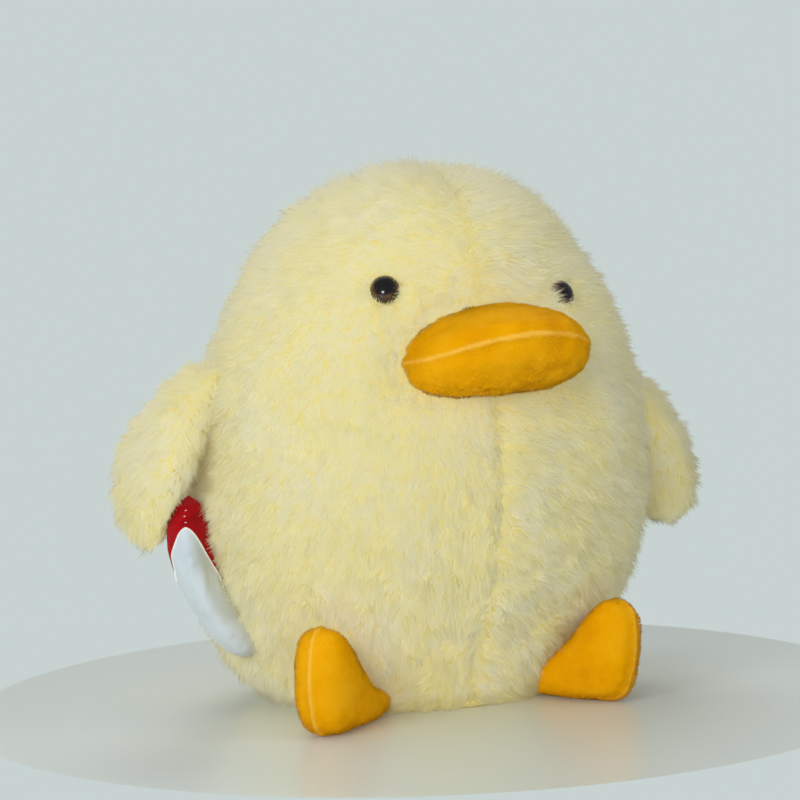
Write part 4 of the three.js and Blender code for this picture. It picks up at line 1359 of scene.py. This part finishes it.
def ordered_loop(edges):
    """The places of a closed run of edges, in order"""
    neighbours = {}
    for edge in edges:
        first, second = edge.verts
        neighbours.setdefault(first, []).append(second)
        neighbours.setdefault(second, []).append(first)
    start = next(iter(neighbours))
    line, before, here = [start.co.copy()], None, start
    while True:
        after = [vertex for vertex in neighbours[here] if vertex is not before]
        if not after or after[0] is start:
            return line
        before, here = here, after[0]
        line.append(here.co.copy())


# Hidden pieces

def dress_inside():
    for name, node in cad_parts.items():
        if name.endswith("filling"):
            dress_node(node, FIBRE_FILL)
        elif name.startswith("eye_washer"):
            dress_node(node, WASHER_PLASTIC)


def dress_node(node, material):
    if not node.material_slots:
        node.data.materials.append(material)
    for place in node.material_slots:
        place.material = material


# Stage, light and camera

def make_stage():
    """A plain pale floor, a little warmer close to the duck"""
    mesh = bpy.data.meshes.new("floor")
    corners = [(FLOOR_HALF * x, FLOOR_HALF * y, 0) for x, y in ((-1, -1), (1, -1), (1, 1), (-1, 1))]
    mesh.from_pydata(corners, [], [(0, 1, 2, 3)])
    floor = new_object("floor", mesh)
    material, tree, shader = new_material("pale floor", Roughness=0.3, Specular_IOR_Level=0.5)
    coords = object_coords(tree)
    reach = vector_node(tree, "LENGTH", coords)
    fine = math_node(tree, "MULTIPLY", noise_value(tree, coords, 900.0), 0.1)
    tree.links.new(mixed(tree, fine, FLOOR, BACKDROP), shader.inputs["Base Color"])
    glow = put(tree, "ShaderNodeEmission", None, {"Color": (*BACKDROP, 1)})
    camera_ray = put(tree, "ShaderNodeLightPath").outputs["Is Camera Ray"]
    past_edge = spread(tree, reach, FLOOR_RADIUS, FLOOR_RADIUS + FLOOR_EDGE)
    seen_past = math_node(tree, "MULTIPLY", past_edge, camera_ray)
    both = put(tree, "ShaderNodeMixShader", None, {0: seen_past, 1: shader.outputs[0], 2: glow.outputs[0]})
    tree.links.new(both.outputs[0], tree.nodes["Material Output"].inputs["Surface"])
    mesh.materials.append(material)


def make_world():
    """The backdrop as the camera sees it, and a weaker cool light all round"""
    world = bpy.data.worlds.new("studio")
    world.use_nodes = True
    bpy.context.scene.world = world
    tree = world.node_tree
    background = tree.nodes["Background"]
    camera_ray = put(tree, "ShaderNodeLightPath").outputs["Is Camera Ray"]
    tree.links.new(mixed(tree, camera_ray, WORLD_TONE, BACKDROP), background.inputs["Color"])
    seen_share = math_node(tree, "MULTIPLY", camera_ray, 1 - WORLD_STRENGTH)
    tree.links.new(math_node(tree, "ADD", seen_share, WORLD_STRENGTH), background.inputs["Strength"])


def make_lamp(name, place, size, power, mirrored):
    lamp = bpy.data.lights.new(name, "AREA")
    lamp.color = LAMP_TONE
    lamp.shape = "DISK"
    lamp.size = size
    lamp.energy = power
    holder = bpy.data.objects.new(name, lamp)
    bpy.context.scene.collection.objects.link(holder)
    holder.location = place
    holder.visible_glossy = mirrored
    holder.rotation_euler = (LAMP_AIM - Vector(place)).to_track_quat("-Z", "Y").to_euler()


def keep_to_eyes(name):
    """Lets a lamp light nothing but the eyes, so the floor doesn't mirror it"""
    buttons = bpy.data.collections.new("eye buttons")
    for node in EYE_NODES:
        buttons.objects.link(bpy.data.objects[f"{node}_button"])
    bpy.data.objects[name].light_linking.receiver_collection = buttons


def make_camera():
    ahead = Vector((math.sin(CAMERA_AZIMUTH), math.cos(CAMERA_AZIMUTH), 0))
    right = Vector((math.cos(CAMERA_AZIMUTH), -math.sin(CAMERA_AZIMUTH), 0))
    look = ahead * math.cos(CAMERA_PITCH) - UP * math.sin(CAMERA_PITCH)
    top = ahead * math.sin(CAMERA_PITCH) + UP * math.cos(CAMERA_PITCH)
    turned_right = right * math.cos(CAMERA_ROLL) - top * math.sin(CAMERA_ROLL)
    turned_top = top * math.cos(CAMERA_ROLL) + right * math.sin(CAMERA_ROLL)
    data = bpy.data.cameras.new("camera")
    data.lens = CAMERA_LENS
    data.sensor_width = 36
    camera = bpy.data.objects.new("camera", data)
    bpy.context.scene.collection.objects.link(camera)
    place = UP * CAMERA_HEIGHT - ahead * CAMERA_DISTANCE - right * CAMERA_SHIFT_ASIDE
    axes = Matrix((turned_right, turned_top, -look)).transposed()
    camera.matrix_world = Matrix.Translation(place) @ axes.to_4x4()
    bpy.context.scene.camera = camera


noise.seed_set(WANDER_SEED)
make_camera()
make_stage()
make_world()
for name, (place, size, power, mirrored) in LAMPS.items():
    make_lamp(name, place, size, power, mirrored)
make_body()
make_base()
make_nap_piece("beak", "body", BEAK_NODES, (0, -0.6, -0.8), 21)
for side, seed in (("right", 31), ("left", 41)):
    make_eye(side)
    make_nap_piece(f"foot_{side}", f"foot_{side}", limb_nodes(f"foot_{side}"), (0, -0.5, 0.9), seed + 1)
    make_furry_limb(f"wing_{side}", f"wing_{side}", limb_nodes(f"wing_{side}"), seed + 3)
make_furry_limb("tail", "body", TAIL_NODES, 51)
make_knife()
dress_inside()
keep_to_eyes("catch light")
bpy.data.objects.remove(STRAND)

bpy.context.scene.view_settings.view_transform = "Standard"
